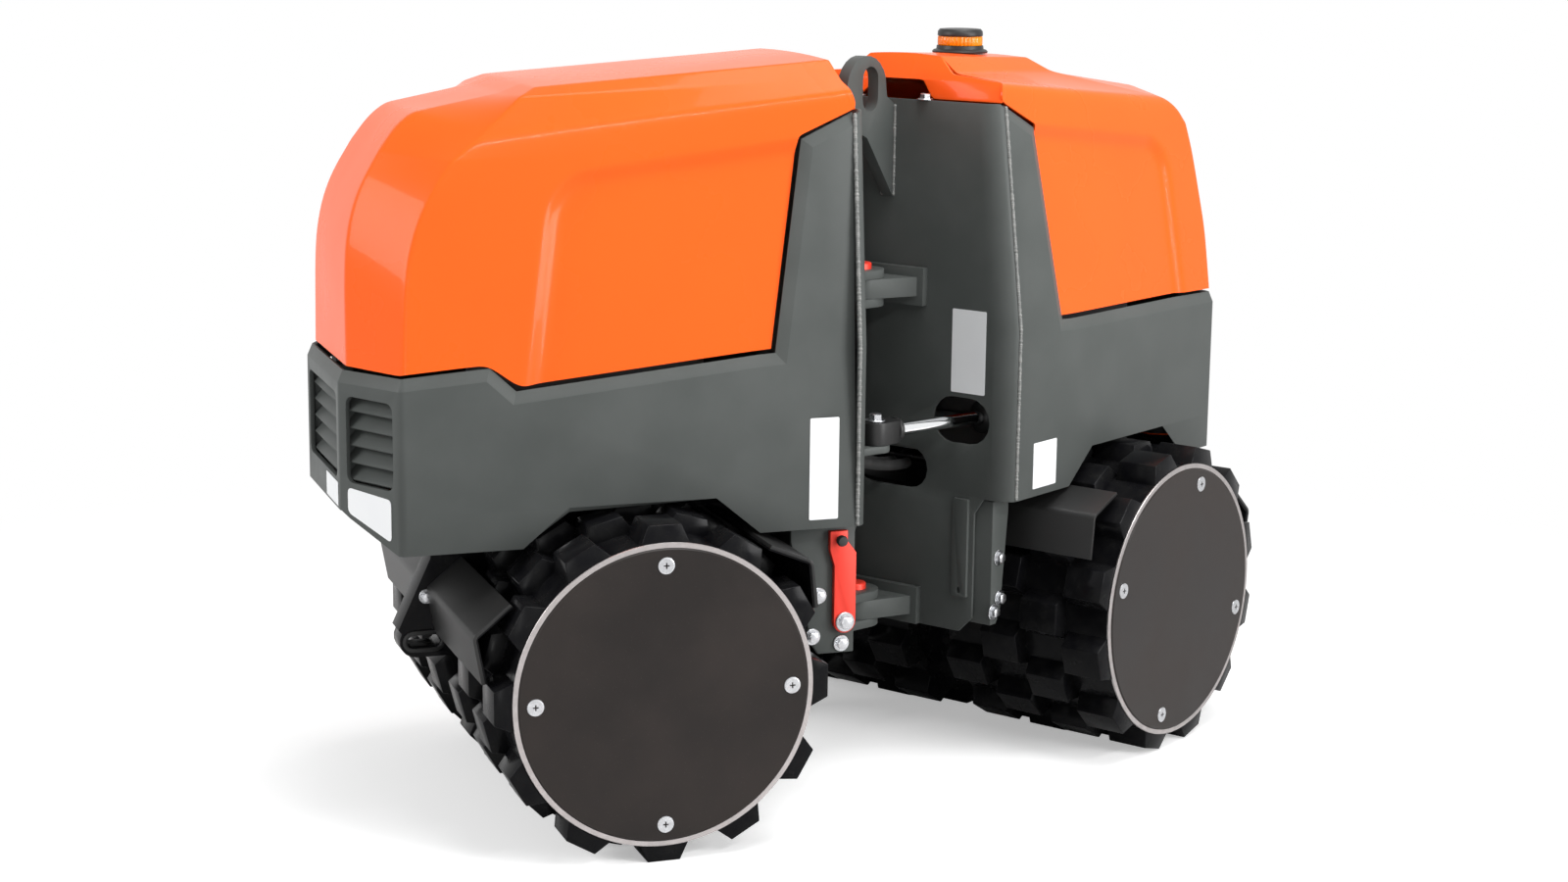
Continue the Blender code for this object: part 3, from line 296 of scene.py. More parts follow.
WELD_GREY = Finish("weld_grey", "chassis", (0.130, 0.135, 0.130), (0.24, 0.24, 0.23), 0.30, 0.15, 90.0, 0.8,
                   300.0, 0.0005, 0.30)
AMBER_LENS = Finish("amber_lens", "amber", (0.90, 0.27, 0.003), (0.60, 0.13, 0.002), 0.12, 0.04, 20.0, 0.5,
                    900.0, 0.0001, 0.03, coat=0.1, transmission=0.15, specular=0.30)
WHITE_PLATE = Finish("white_plate", "chassis", (0.80, 0.81, 0.82), (0.74, 0.75, 0.77), 0.35, 0.05, 12.0, 0.4,
                     900.0, 0.0001, 0.05)
CAST_BLOCK = Finish("cast_block", "engine", (0.10, 0.10, 0.11), (0.16, 0.15, 0.14), 0.55, 0.20, 12.0, 0.8,
                    200.0, 0.0010, 0.50)


# Mesh helpers


def spawn(name: str, bm: bmesh.types.BMesh, place: Matrix | None = None) -> bpy.types.Object:
    """Turn a bmesh into an object at the origin.

    Args:
        name: The object's name.
        bm: The shape, which is freed.
        place: Where the shape goes.

    Returns:
        The new object, with its place in its mesh.
    """
    if place is not None:
        bmesh.ops.transform(bm, matrix=place, verts=bm.verts)
    mesh = bpy.data.meshes.new(name)
    bm.to_mesh(mesh)
    bm.free()
    thing = bpy.data.objects.new(name, mesh)
    bpy.context.scene.collection.objects.link(thing)
    return thing


def baked(thing: bpy.types.Object) -> bpy.types.Object:
    """Turn an object's evaluated shape into its plain mesh and drop the modifiers."""
    bpy.context.view_layer.update()
    graph = bpy.context.evaluated_depsgraph_get()
    mesh = bpy.data.meshes.new_from_object(thing.evaluated_get(graph))
    thing.modifiers.clear()
    thing.data = mesh
    return thing


def rounded_edges(thing: bpy.types.Object, width: float, segments: int = 2, angle: float = 30.0) -> None:
    """Round every edge sharper than an angle in degrees."""
    step = thing.modifiers.new("round", "BEVEL")
    step.width = width
    step.segments = segments
    step.limit_method = "ANGLE"
    step.angle_limit = radians(angle)
    step.use_clamp_overlap = True


def walled(thing: bpy.types.Object, thickness: float, offset: float = -1.0) -> None:
    """Give an open surface a wall, on its inner side for an offset of -1 and on its outer one for 1."""
    step = thing.modifiers.new("wall", "SOLIDIFY")
    step.thickness = thickness
    step.offset = offset


def joined(name: str, things: list[bpy.types.Object]) -> bpy.types.Object:
    """Join plain meshes into one object and remove the old ones.

    Args:
        name: The new object's name.
        things: The objects to join.

    Returns:
        The new object.
    """
    bm = bmesh.new()
    for thing in things:
        bm.from_mesh(thing.data)
        bpy.data.objects.remove(thing, do_unlink=True)
    return spawn(name, bm)


def dressed(thing: bpy.types.Object, finish: Finish, body: str, *nodes: str, angle: float = 40.0) -> bpy.types.Object:
    """Finish a piece: bake it, shade it, give it its material and let it ride.

    Args:
        thing: The piece, in place.
        finish: Its finish.
        body: The body that it rides on.
        *nodes: The frame's nodes that it stands for.
        angle: Edges sharper than this many degrees stay sharp.

    Returns:
        The finished piece.
    """
    if thing.modifiers:
        baked(thing)
    mesh = thing.data
    mesh.materials.clear()
    mesh.materials.append(finish.material())
    mesh.shade_smooth()
    mesh.set_sharp_from_angle(angle=radians(angle))
    if nodes:
        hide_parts(*nodes)
    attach(thing, body)
    LOG.info("%s: %d faces on %s", thing.name, len(mesh.polygons), body)
    return thing


def arc(centre: Point2, radius: float, start: float, end: float, steps: int = 8) -> list[Point2]:
    """Give the points of an arc, with its angles in degrees."""
    turns = [radians(start + (end - start) * k / steps) for k in range(steps + 1)]
    return [(centre[0] + radius * cos(a), centre[1] + radius * sin(a)) for a in turns]


def rounded_box(half_u: float, half_v: float, radius: float, steps: int = 5) -> list[Point2]:
    """Give the outline of a rectangle about the middle, with round corners."""
    u, v = half_u - radius, half_v - radius
    points: list[Point2] = []
    for k, corner in enumerate(((u, v), (-u, v), (-u, -v), (u, -v))):
        points += arc(corner, radius, 90 * k, 90 * (k + 1), steps)
    return points


def filled(outlines: list[list[Point2]], thickness: float = 0.0) -> bmesh.types.BMesh:
    """Fill a flat outline, with its holes after it, on the XY plane.

    Args:
        outlines: The outline and its holes.
        thickness: The plate's thickness, or 0 for an open sheet.

    Returns:
        A closed plate or a flat sheet about the XY plane.
    """
    curve = bpy.data.curves.new("outline", "CURVE")
    curve.dimensions = "2D"
    curve.fill_mode = "BOTH" if thickness else "FRONT"
    curve.extrude = thickness / 2
    for outline in outlines:
        spline = curve.splines.new("POLY")
        spline.points.add(len(outline) - 1)
        for point, (u, v) in zip(spline.points, outline):
            point.co = (u, v, 0.0, 1.0)
        spline.use_cyclic_u = True
    drawn = bpy.data.objects.new("outline", curve)
    bpy.context.scene.collection.objects.link(drawn)
    bpy.context.view_layer.update()
    mesh = bpy.data.meshes.new_from_object(drawn.evaluated_get(bpy.context.evaluated_depsgraph_get()))
    bpy.data.objects.remove(drawn, do_unlink=True)
    bm = bmesh.new()
    bm.from_mesh(mesh)
    bpy.data.meshes.remove(mesh)
    bmesh.ops.remove_doubles(bm, verts=bm.verts, dist=MERGE)
    if thickness:
        bmesh.ops.recalc_face_normals(bm, faces=bm.faces)
    return bm


def turned(profile: list[Point2], segments: int = 64, closed: bool = False) -> bmesh.types.BMesh:
    """Turn a profile of (radius, height) points about Z.

    Args:
        profile: The points, from one end to the other.
        segments: How many faces go round.
        closed: Whether the last point joins the first, as on a ring.

    Returns:
        The turned shape with its poles merged.
    """
    bm = bmesh.new()
    rings = []
    for k in range(segments):
        a = 2 * pi * k / segments
        rings.append([bm.verts.new((r * cos(a), r * sin(a), h)) for r, h in profile])
    count = len(profile) if closed else len(profile) - 1
    for k in range(segments):
        this, following = rings[k], rings[(k + 1) % segments]
        for j in range(count):
            n = (j + 1) % len(profile)
            bm.faces.new((this[j], following[j], following[n], this[n]))
    bmesh.ops.remove_doubles(bm, verts=bm.verts, dist=MERGE)
    bmesh.ops.dissolve_degenerate(bm, edges=bm.edges, dist=MERGE)
    bmesh.ops.recalc_face_normals(bm, faces=bm.faces)
    return bm


def tube(points: list[Vector], radius: float, sides: int = 16) -> bmesh.types.BMesh:
    """Make a round closed tube along points, with its sections turned as little as can be.

    Args:
        points: The middle line's points.
        radius: The tube's radius.
        sides: How many faces go round.

    Returns:
        The closed tube.
    """
    bm = bmesh.new()
    rings = []
    up = Vector((0, 0, 1))
    for k, point in enumerate(points):
        ahead = (points[min(k + 1, len(points) - 1)] - points[max(k - 1, 0)]).normalized()
        across = ahead.cross(up)
        if across.length < 0.05:
            across = ahead.cross(Vector((1, 0, 0)))
        across.normalize()
        up = across.cross(ahead).normalized()
        turns = [2 * pi * j / sides for j in range(sides)]
        rings.append([bm.verts.new(point + across * radius * cos(a) + up * radius * sin(a)) for a in turns])
    for this, following in zip(rings, rings[1:]):
        for j in range(sides):
            n = (j + 1) % sides
            bm.faces.new((this[j], this[n], following[n], following[j]))
    bm.faces.new(rings[0])
    bm.faces.new(rings[-1])
    bmesh.ops.recalc_face_normals(bm, faces=bm.faces)
    return bm


def refined(name: str, node: str, width: float, segments: int = 2, angle: float = 30.0) -> bpy.types.Object:
    """Copy a node's solid, merge its flat faces and round its edges.

    Args:
        name: The new piece's name.
        node: The frame's node.
        width: Width of the rounding.
        segments: Faces across the rounding.
        angle: Edges sharper than this many degrees are rounded.

    Returns:
        The piece, not yet dressed.
    """
    bm = bmesh.new()
    bm.from_mesh(bpy.data.objects[node].data)
    bmesh.ops.remove_doubles(bm, verts=bm.verts, dist=MERGE * 2)
    bmesh.ops.dissolve_limit(bm, angle_limit=radians(1.0), verts=bm.verts, edges=bm.edges)
    thing = spawn(name, bm)
    rounded_edges(thing, width, segments, angle)
    return thing


def trimmed(name: str, node: str, width: float, finish: Finish, body: str, segments: int = 2) -> None:
    """Dress a refined copy of a node's solid, which stands for that node.

    Args:
        name: The new piece's name.
        node: The frame's node.
        width: Width of the rounding.
        finish: Its finish.
        body: The body that it rides on.
        segments: Faces across the rounding.
    """
    dressed(refined(name, node, width, segments), finish, body, node)


# Geometry node trees for what repeats


def new_tree(name: str, **kinds: str) -> bpy.types.NodeTree:
    """Start a geometry tree.

    Args:
        name: Its name.
        **kinds: The kinds of its inputs apart from the geometry and the material.

    Returns:
        The tree with its sockets.
    """
    tree = bpy.data.node_groups.new(name, "GeometryNodeTree")
    add_sockets(tree, "INPUT", geometry="Geometry", **kinds, material="Material")
    add_sockets(tree, "OUTPUT", geometry="Geometry")
    return tree


def end_tree(tree: bpy.types.NodeTree, given: bpy.types.NodeOutputs, copies: bpy.types.Node) -> None:
    """Realize the copies, set the material and lead both out.

    Args:
        tree: The tree.
        given: The tree's inputs.
        copies: The node that sets the copies.
    """
    real = add_node(tree, "GeometryNodeRealizeInstances", {"Geometry": copies.outputs["Instances"]})
    paint = add_node(tree, "GeometryNodeSetMaterial", {"Geometry": real.outputs["Geometry"],
                                                       "Material": given["Material"]})
    add_node(tree, "NodeGroupOutput", {"Geometry": paint.outputs["Geometry"]})


@cache
def ring_tree() -> bpy.types.NodeTree:
    """Give the tree that sets copies of a piece in staggered rings about the Y axis, building it once."""
    tree = new_tree("staggered_rings", count="Int", rows="Int", radius="Float", first_row="Float", row_step="Float",
                    first_turn="Float")
    given = add_node(tree, "NodeGroupInput").outputs
    count, radius = given["Count"], given["Radius"]
    index = add_node(tree, "GeometryNodeInputIndex").outputs["Index"]
    row = calculate(tree, "FLOOR", calculate(tree, "DIVIDE", calculate(tree, "ADD", index, 0.5), count))
    place = calculate(tree, "SUBTRACT", index, calculate(tree, "MULTIPLY", row, count))
    stagger = calculate(tree, "MULTIPLY", calculate(tree, "MODULO", row, 2.0), 0.5)
    part = calculate(tree, "DIVIDE", calculate(tree, "ADD", place, stagger), count)
    turn = calculate(tree, "MULTIPLY_ADD", part, 2 * pi, given["First Turn"])
    spot = add_node(tree, "ShaderNodeCombineXYZ", {
        "X": calculate(tree, "MULTIPLY", calculate(tree, "COSINE", turn), radius),
        "Y": calculate(tree, "MULTIPLY_ADD", row, given["Row Step"], given["First Row"]),
        "Z": calculate(tree, "MULTIPLY", calculate(tree, "SINE", turn), radius)})
    line = add_node(tree, "GeometryNodePoints", {"Count": calculate(tree, "MULTIPLY", count, given["Rows"]),
                                                 "Position": spot.outputs["Vector"]})
    angles = add_node(tree, "ShaderNodeCombineXYZ", {"Y": calculate(tree, "SUBTRACT", pi / 2, turn)})
    facing = add_node(tree, "FunctionNodeEulerToRotation", {"Euler": angles.outputs["Vector"]})
    copies = add_node(tree, "GeometryNodeInstanceOnPoints", {
        "Points": line.outputs[0], "Instance": given["Geometry"], "Rotation": facing.outputs["Rotation"]})
    end_tree(tree, given, copies)
    return tree


@cache
def spot_tree() -> bpy.types.NodeTree:
    """Give the tree that sets a copy of a piece on each point, its +Z along the point's aim, building it once."""
    tree = new_tree("aimed_copies", piece="Object")
    given = add_node(tree, "NodeGroupInput").outputs
    piece = add_node(tree, "GeometryNodeObjectInfo", {"Object": given["Piece"]})
    aim = add_node(tree, "GeometryNodeInputNamedAttribute", {"Name": "aim"}, data_type="FLOAT_VECTOR")
    facing = add_node(tree, "FunctionNodeAlignRotationToVector", {"Vector": aim.outputs["Attribute"]}, axis="Z")
    copies = add_node(tree, "GeometryNodeInstanceOnPoints", {
        "Points": given["Geometry"], "Instance": piece.outputs["Geometry"], "Rotation": facing.outputs["Rotation"]})
    end_tree(tree, given, copies)
    return tree


@cache
def bead_tree() -> bpy.types.NodeTree:
    """Give the tree that lays overlapping beads of weld along lines, building it once."""
    tree = new_tree("weld_beads", radius="Float", pitch="Float")
    given = add_node(tree, "NodeGroupInput").outputs
    line = add_node(tree, "GeometryNodeMeshToCurve", {"Mesh": given["Geometry"]})
    spaced = add_node(tree, "GeometryNodeResampleCurve", {"Curve": line.outputs["Curve"], "Length": given["Pitch"]},
                      mode="LENGTH")
    drop = add_node(tree, "GeometryNodeMeshUVSphere", {"Segments": 10, "Rings": 6, "Radius": given["Radius"]})
    spread = add_node(tree, "FunctionNodeRandomValue", data_type="FLOAT")
    set_inputs(tree, spread, {"Min": 0.85, "Max": 1.15, "Seed": 7})
    copies = add_node(tree, "GeometryNodeInstanceOnPoints", {
        "Points": spaced.outputs["Curve"], "Instance": drop.outputs["Mesh"], "Scale": spread.outputs["Value"]})
    end_tree(tree, given, copies)
    return tree


def grown(thing: bpy.types.Object, tree: bpy.types.NodeTree, finish: Finish, **values: object) -> bpy.types.Object:
    """Run a geometry tree on an object and keep the result as its plain mesh.

    Args:
        thing: The object whose mesh goes in.
        tree: The tree.
        finish: What the tree's material is.
        **values: The tree's other inputs, by label with _ for a space.

    Returns:
        The same object with its new mesh.
    """
    step = thing.modifiers.new("copies", "NODES")
    step.node_group = tree
    wanted = {titled(key): value for key, value in values.items()}
    wanted["Material"] = finish.material()
    for socket in tree.interface.items_tree:
        if socket.in_out == "INPUT" and socket.name in wanted:
            step[socket.identifier] = wanted[socket.name]
    return baked(thing)


def spots(name: str, piece: bpy.types.Object, places: list[tuple[Vector, Vector]], finish: Finish) -> bpy.types.Object:
    """Set copies of a piece at places and remove the piece.

    Args:
        name: The new object's name.
        piece: What is copied, standing on the XY plane.
        places: Each copy's point and the way that it faces.
        finish: The copies' finish.

    Returns:
        One object with all the copies.
    """
    bm = bmesh.new()
    for point, _ in places:
        bm.verts.new(point)
    holder = spawn(name, bm)
    aim = holder.data.attributes.new("aim", "FLOAT_VECTOR", "POINT")
    aim.data.foreach_set("vector", [c for _, way in places for c in way])
    made = grown(holder, spot_tree(), finish, piece=piece)
    bpy.data.objects.remove(piece, do_unlink=True)
    return made


def hex_bolt(radius: float, height: float) -> bpy.types.Object:
    """Make a hexagon head on its washer, standing on the XY plane."""
    washer = turned([(0, 0), (radius * 1.45, 0), (radius * 1.45, height * 0.22), (0, height * 0.22)], 28)
    head = turned([(0, height * 0.2), (radius, height * 0.2), (radius, height * 0.9), (radius * 0.82, height),
                   (0, height)], 6)
    things = [spawn("washer", washer), spawn("head", head)]
    rounded_edges(things[0], height * 0.06, 1)
    baked(things[0])
    return joined("hex_bolt", things)


def countersunk_screw(radius: float) -> bpy.types.Object:
    """Make a flat screw head with a cross recess, its top just above the XY plane."""
    arm, reach = radius * 0.10, radius * 0.42
    cross = [(arm, arm), (arm, reach), (-arm, reach), (-arm, arm), (-reach, arm), (-reach, -arm), (-arm, -arm),
             (-arm, -reach), (arm, -reach), (arm, -arm), (reach, -arm), (reach, arm)]
    rim = filled([arc((0, 0), radius, 0, 350, 35), cross], radius * 0.30)
    floor = turned([(0, -radius * 0.12), (radius * 0.8, -radius * 0.12), (radius * 0.8, -radius * 0.14),
                    (0, -radius * 0.14)], 24)
    collar = turned([(radius, -radius * 0.05), (radius * 1.22, -radius * 0.05), (radius * 1.18, radius * 0.10),
                     (radius, radius * 0.14)], 36, closed=True)
    return joined("screw", [spawn("rim", rim), spawn("floor", floor), spawn("collar", collar)])


# The machine's halves


@dataclass(frozen=True)
class HalfFrame:
    """One half of the machine, with its axes' place and the bodies that its pieces ride on."""

    name: str
    near: Side
    side_end: float
    axes: Matrix
    lug_phase: float
    screw_phase: float
    seam_level: float
    seam_run: tuple[Point2, ...]

    HINGE_WALL = 0.085
    WALL_THICKNESS = 0.012
    WALL_EDGE = 0.112
    WALL_SQUASH = 0.45
    SIDE_HALF = 0.292
    FACE_HALF = 0.150
    CHAMFER = 0.078
    AXLE_OFFSET = 0.5105
    AXLE_HEIGHT = 0.301
    WALL_TOP = 1.285
    LEAN = 0.114
    LEAN_FOOT = 0.870

    @property
    def face(self) -> float:
        """How far out the end face lies."""
        return self.side_end + self.CHAMFER

    @property
    def frame_body(self) -> str:
        """The body of this half's frame."""
        return self.name + "_frame"

    def label(self, word: str) -> str:
        """Name a piece of this half."""
        return f"{self.name}_{word}"

    def place(self, point: Point3) -> Vector:
        """Put a point of this half's axes into the frame."""
        return self.axes @ Vector(point)

    def way(self, direction: Point3) -> Vector:
        """Turn a direction of this half's axes into the frame."""
        return self.axes.to_3x3() @ Vector(direction)

    def flank_spots(self, points: tuple[Point2, ...], y: float) -> list[tuple[Vector, Vector]]:
        """Give places in X and Z on both flanks at a distance Y, each with the way that it faces."""
        return [(self.place((x, side.value * y, z)), self.way((0, side.value, 0))) for side in Side for x, z in points]

    def leaned(self, y: float, z: float) -> float:
        """Give where a side's Y comes to at a height, as the sides lean in above the seam."""
        return y * (1 - self.LEAN * max(z - self.LEAN_FOOT, 0.0) / self.SIDE_HALF)

    def seam(self) -> list[Point2]:
        """Give the chassis side's upper edge in X and Z, from the end face to the top of the post."""
        post = ((0.267, self.seam_run[-1][1] + 0.002), (0.209, 1.237), (self.WALL_EDGE, 1.2825))
        return [(self.face, self.seam_level), *self.seam_run, *post]

    def seam_height(self, x: float) -> float:
        """Give the height of the seam's lower run at a place along X."""
        line = self.seam()[:-2]
        for (xa, za), (xb, zb) in zip(line, line[1:]):
            if xb <= x <= xa:
                return za + (zb - za) * (xa - x) / (xa - xb)
        return line[0][1] if x > line[0][0] else line[-1][1]


def half_frames(joints: list[dict]) -> tuple[HalfFrame, HalfFrame]:
    """Work out both halves' axes from the frame's joints.

    Args:
        joints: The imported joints.

    Returns:
        The front and the rear half.
    """
    named = {joint["name"]: joint for joint in joints}
    pivot = Vector((*named["steering"]["pos_m"][:2], 0.0))
    across = named["rear_drum_spin"]["axis"]
    front_axes = Matrix.Translation(pivot)
    rear_axes = Matrix.Translation(pivot) @ Matrix.Rotation(atan2(-across[0], across[1]), 4, "Z")
    # The front seam has a step and falls towards it from the post, and the rear one runs level
    front_seam = ((0.938, 0.850), (0.781, 0.862), (0.735, 0.820), (0.300, 0.864))
    rear_seam = ((0.835, 0.868), (0.685, 0.871), (0.300, 0.871))
    return (HalfFrame("front", Side.LEFT, 0.938, front_axes, 0.0, 0.0, 0.848, front_seam),
            HalfFrame("rear", Side.RIGHT, 0.835, rear_axes, radians(15), radians(75), 0.866, rear_seam))


@dataclass(frozen=True)
class HoodLevel:
    """One level line of a hood.

    Attributes:
        inner: Height at the hinge side.
        corner: Height at the side's corner.
        end: Height at the end.
        start: Where it starts along X.
        corner_inset: How far in from the end face its corner lies.
        end_inset: How far in from the end face its end lies.
        half: Half width at the side.
        end_half: Half width of its end.
    """

    inner: float
    corner: float
    end: float
    start: float
    corner_inset: float
    end_inset: float
    half: float
    end_half: float


@dataclass(frozen=True)
class HoodShape:
    """A hood's level lines from the seam to the raised roof, and its side recess."""

    levels: tuple[HoodLevel, ...]
    recess_foot: Point2
    recess_corner: Point2
    recess_back: Point2


FRONT_HOOD = HoodShape((
    HoodLevel(0.000, 0.000, 0.000, 0.2720, 0.085, 0.015, 0.2850, 0.148),
    HoodLevel(1.000, 1.000, 1.000, 0.2515, 0.094, 0.016, 0.2700, 0.142),
    HoodLevel(1.060, 1.060, 1.060, 0.2420, 0.104, 0.019, 0.2630, 0.139),
    HoodLevel(1.120, 1.120, 1.120, 0.2325, 0.124, 0.031, 0.2565, 0.134),
    HoodLevel(1.165, 1.165, 1.165, 0.2255, 0.150, 0.050, 0.2515, 0.130),
    HoodLevel(1.2425, 1.211, 1.219, 0.2145, 0.183, 0.082, 0.2445, 0.125),
    HoodLevel(1.291, 1.231, 1.245, 0.103, 0.210, 0.101, 0.240, 0.122),
    HoodLevel(1.316, 1.243, 1.265, 0.112, 0.228, 0.117, 0.237, 0.119),
    HoodLevel(1.324, 1.258, 1.284, 0.116, 0.246, 0.142, 0.231, 0.117),
    HoodLevel(1.341, 1.315, 1.315, 0.130, 0.309, 0.296, 0.212, 0.115),
    HoodLevel(1.371, 1.329, 1.330, 0.141, 0.341, 0.335, 0.186, 0.110),
), (0.705, 0.830), (0.655, 1.172), (0.215, 1.226))
REAR_HOOD = HoodShape((
    HoodLevel(0.000, 0.000, 0.000, 0.2720, 0.085, 0.015, 0.2850, 0.148),
    HoodLevel(1.000, 1.000, 1.000, 0.2515, 0.088, 0.018, 0.2700, 0.142),
    HoodLevel(1.060, 1.060, 1.060, 0.2420, 0.101, 0.025, 0.2630, 0.139),
    HoodLevel(1.120, 1.120, 1.120, 0.2325, 0.113, 0.035, 0.2565, 0.134),
    HoodLevel(1.165, 1.165, 1.165, 0.2255, 0.124, 0.048, 0.2515, 0.130),
    HoodLevel(1.2425, 1.213, 1.220, 0.2145, 0.138, 0.066, 0.2445, 0.125),
    HoodLevel(1.291, 1.235, 1.246, 0.103, 0.156, 0.082, 0.240, 0.122),
    HoodLevel(1.317, 1.250, 1.264, 0.112, 0.173, 0.098, 0.237, 0.119),
    HoodLevel(1.323, 1.268, 1.283, 0.120, 0.205, 0.132, 0.229, 0.116),
    HoodLevel(1.333, 1.325, 1.324, 0.139, 0.450, 0.440, 0.116, 0.095),
    HoodLevel(1.364, 1.352, 1.350, 0.134, 0.488, 0.484, 0.082, 0.070),
), (0.715, 0.850), (0.680, 1.178), (0.215, 1.230))


@dataclass
class Hood:
    """A moulded hood: a thin crowned shell with a soft recess in each side, and its end panel."""

    half: HalfFrame
    shape: HoodShape
    gap: float = 0.0065
    sheet: float = 0.004
    recess_depth: float = 0.011
    recess_ramp: float = 0.034
    recess_round: float = 0.060
    recess_from: float = 0.270
    # How much of a normal lies along Y where the recess starts to count, and where it counts in full
    flank: Point2 = (0.6, 0.9)
    side_shares: tuple[float, ...] = (0, 0.02, 0.10, 0.22, 0.34, 0.46, 0.58, 0.665, 0.70, 0.77, 0.81, 0.89, 0.985, 1)
    chamfer_shares: tuple[float, ...] = (0.06, 0.36, 0.64, 0.94)
    face_shares: tuple[float, ...] = (0.035, 0.25, 0.5, 0.75, 0.965)
    # How far between a level and the next each extra row of the cage lies, by the lower level's number
    extra_rows: tuple[tuple[float, ...], ...] = ((0.08, 0.5), (), (), (), (0.5, 0.88), (0.12, 0.5, 0.85), (), (),
                                                 (0.1, 0.5, 0.88), (0.22, 0.78))
    crown: float = 0.004
    rim: list[Vector] = field(default_factory=list)

    def side_points(self, level: HoodLevel, side: Side) -> list[Vector]:
        """Give a level's points along one side, from the hinge side to the corner."""
        corner = self.half.face - level.corner_inset
        points = []
        for share in self.side_shares:
            x = level.start + (corner - level.start) * share
            z = level.inner + (level.corner - level.inner) * share
            if not level.inner:
                z = self.half.seam_height(x) + self.gap
            points.append(Vector((x, side.value * level.half, z)))
        return points

    def end_points(self, level: HoodLevel) -> list[Vector]:
        """Give a level's points between its two corners, from the left one to the right one."""
        low = self.half.seam_level + self.gap
        corner_z, end_z = (level.corner, level.end) if level.inner else (low, low)
        corner = Vector((self.half.face - level.corner_inset, level.half, corner_z))
        edge = Vector((self.half.face - level.end_inset, level.end_half, end_z))
        left = [corner.lerp(edge, share) for share in self.chamfer_shares] + [edge]
        mirror = Vector((1, -1, 1))
        face = [edge.lerp(edge * mirror, share) for share in self.face_shares]
        return left + face + [point * mirror for point in reversed(left)]

    def ring(self, level: HoodLevel) -> list[Vector]:
        """Give a whole level line, from the hinge side round the end and back."""
        return (self.side_points(level, Side.LEFT) + self.end_points(level)
                + list(reversed(self.side_points(level, Side.RIGHT))))

    def cage(self) -> bmesh.types.BMesh:
        """Build the coarse cage: rings of quads below, and a grid over the raised roof."""
        table = [self.ring(level) for level in self.shape.levels]
        rings = [table[0]]
        for this, following, shares in zip(table, table[1:], self.extra_rows):
            for share in shares:
                rings.append([a.lerp(b, share) for a, b in zip(this, following)])
            rings.append(following)
        bm = bmesh.new()
        rows = [[bm.verts.new(point) for point in ring] for ring in rings]
        for low, high in zip(rows, rows[1:]):
            for k in range(len(low) - 1):
                bm.faces.new((low[k], low[k + 1], high[k + 1], high[k]))
        top, count = rows[-1], len(self.side_shares)
        end = top[count - 1:len(top) - count + 1]
        half_width = end[0].co.y
        grid = []
        for k in range(count - 1):
            left, right = top[k], top[-1 - k]
            row = [left]
            for point in end[1:-1]:
                share = (half_width - point.co.y) / (2 * half_width)
                spot = left.co.lerp(right.co, share)
                spot.z += self.crown * (1 - (2 * share - 1) ** 2)
                row.append(bm.verts.new(spot))
            grid.append(row + [right])
        grid.append(end)
        for this, following in zip(grid, grid[1:]):
            for k in range(len(this) - 1):
                bm.faces.new((this[k], following[k], following[k + 1], this[k + 1]))
        bmesh.ops.recalc_face_normals(bm, faces=bm.faces)
        if sum(face.normal.z for face in bm.faces) < 0:
            bmesh.ops.reverse_faces(bm, faces=bm.faces)
        return bm

    def recess(self, x: float, z: float) -> float:
        """Give how deep the side is pressed in at a place on it."""
        foot, corner, back = (Vector(p) for p in (self.shape.recess_foot, self.shape.recess_corner,
                                                  self.shape.recess_back))
        edge = foot + (corner - foot) * (z - foot.y) / (corner.y - foot.y)
        front = edge.x - x
        top = corner.y + (back.y - corner.y) * (x - corner.x) / (back.x - corner.x) - z
        inside = self.recess_round - hypot(max(self.recess_round - front, 0), max(self.recess_round - top, 0))
        inside = min(inside, front, top) if min(front, top) > self.recess_round else inside
        share = min(max(inside / self.recess_ramp + 0.5, 0.0), 1.0)
        return self.recess_depth * share * share * (3 - 2 * share)

    def skin(self) -> bpy.types.Object:
        """Build the outer shell."""
        thing = spawn(self.half.label("hood_skin"), self.cage())
        smooth = thing.modifiers.new("smooth", "SUBSURF")
        smooth.levels = smooth.render_levels = 2
        smooth.boundary_smooth = "PRESERVE_CORNERS"
        baked(thing)
        # The normals are read first, because each move would turn those beside it
        outward = [vertex.normal.y for vertex in thing.data.vertices]
        for vertex, normal_y in zip(thing.data.vertices, outward):
            spot = vertex.co
            if abs(spot.y) > self.half.leaned(self.recess_from, spot.z) and normal_y * spot.y > 0:
                low, high = self.flank
                facing = min(max((abs(normal_y) - low) / (high - low), 0.0), 1.0)
                spot.y -= (1 if spot.y > 0 else -1) * self.recess(spot.x, spot.z) * facing
        self.find_rim(thing)
        walled(thing, self.sheet)
        return baked(thing)

    def find_rim(self, thing: bpy.types.Object) -> None:
        """Keep the points of the shell's open edge above the hinge wall, from right to left."""
        bm = bmesh.new()
        bm.from_mesh(thing.data)
        self.rim = sorted((v.co.copy() for v in bm.verts if v.is_boundary and v.co.x < 0.17
                           and v.co.z > self.half.WALL_TOP + 0.004), key=lambda point: point.y)
        bm.free()

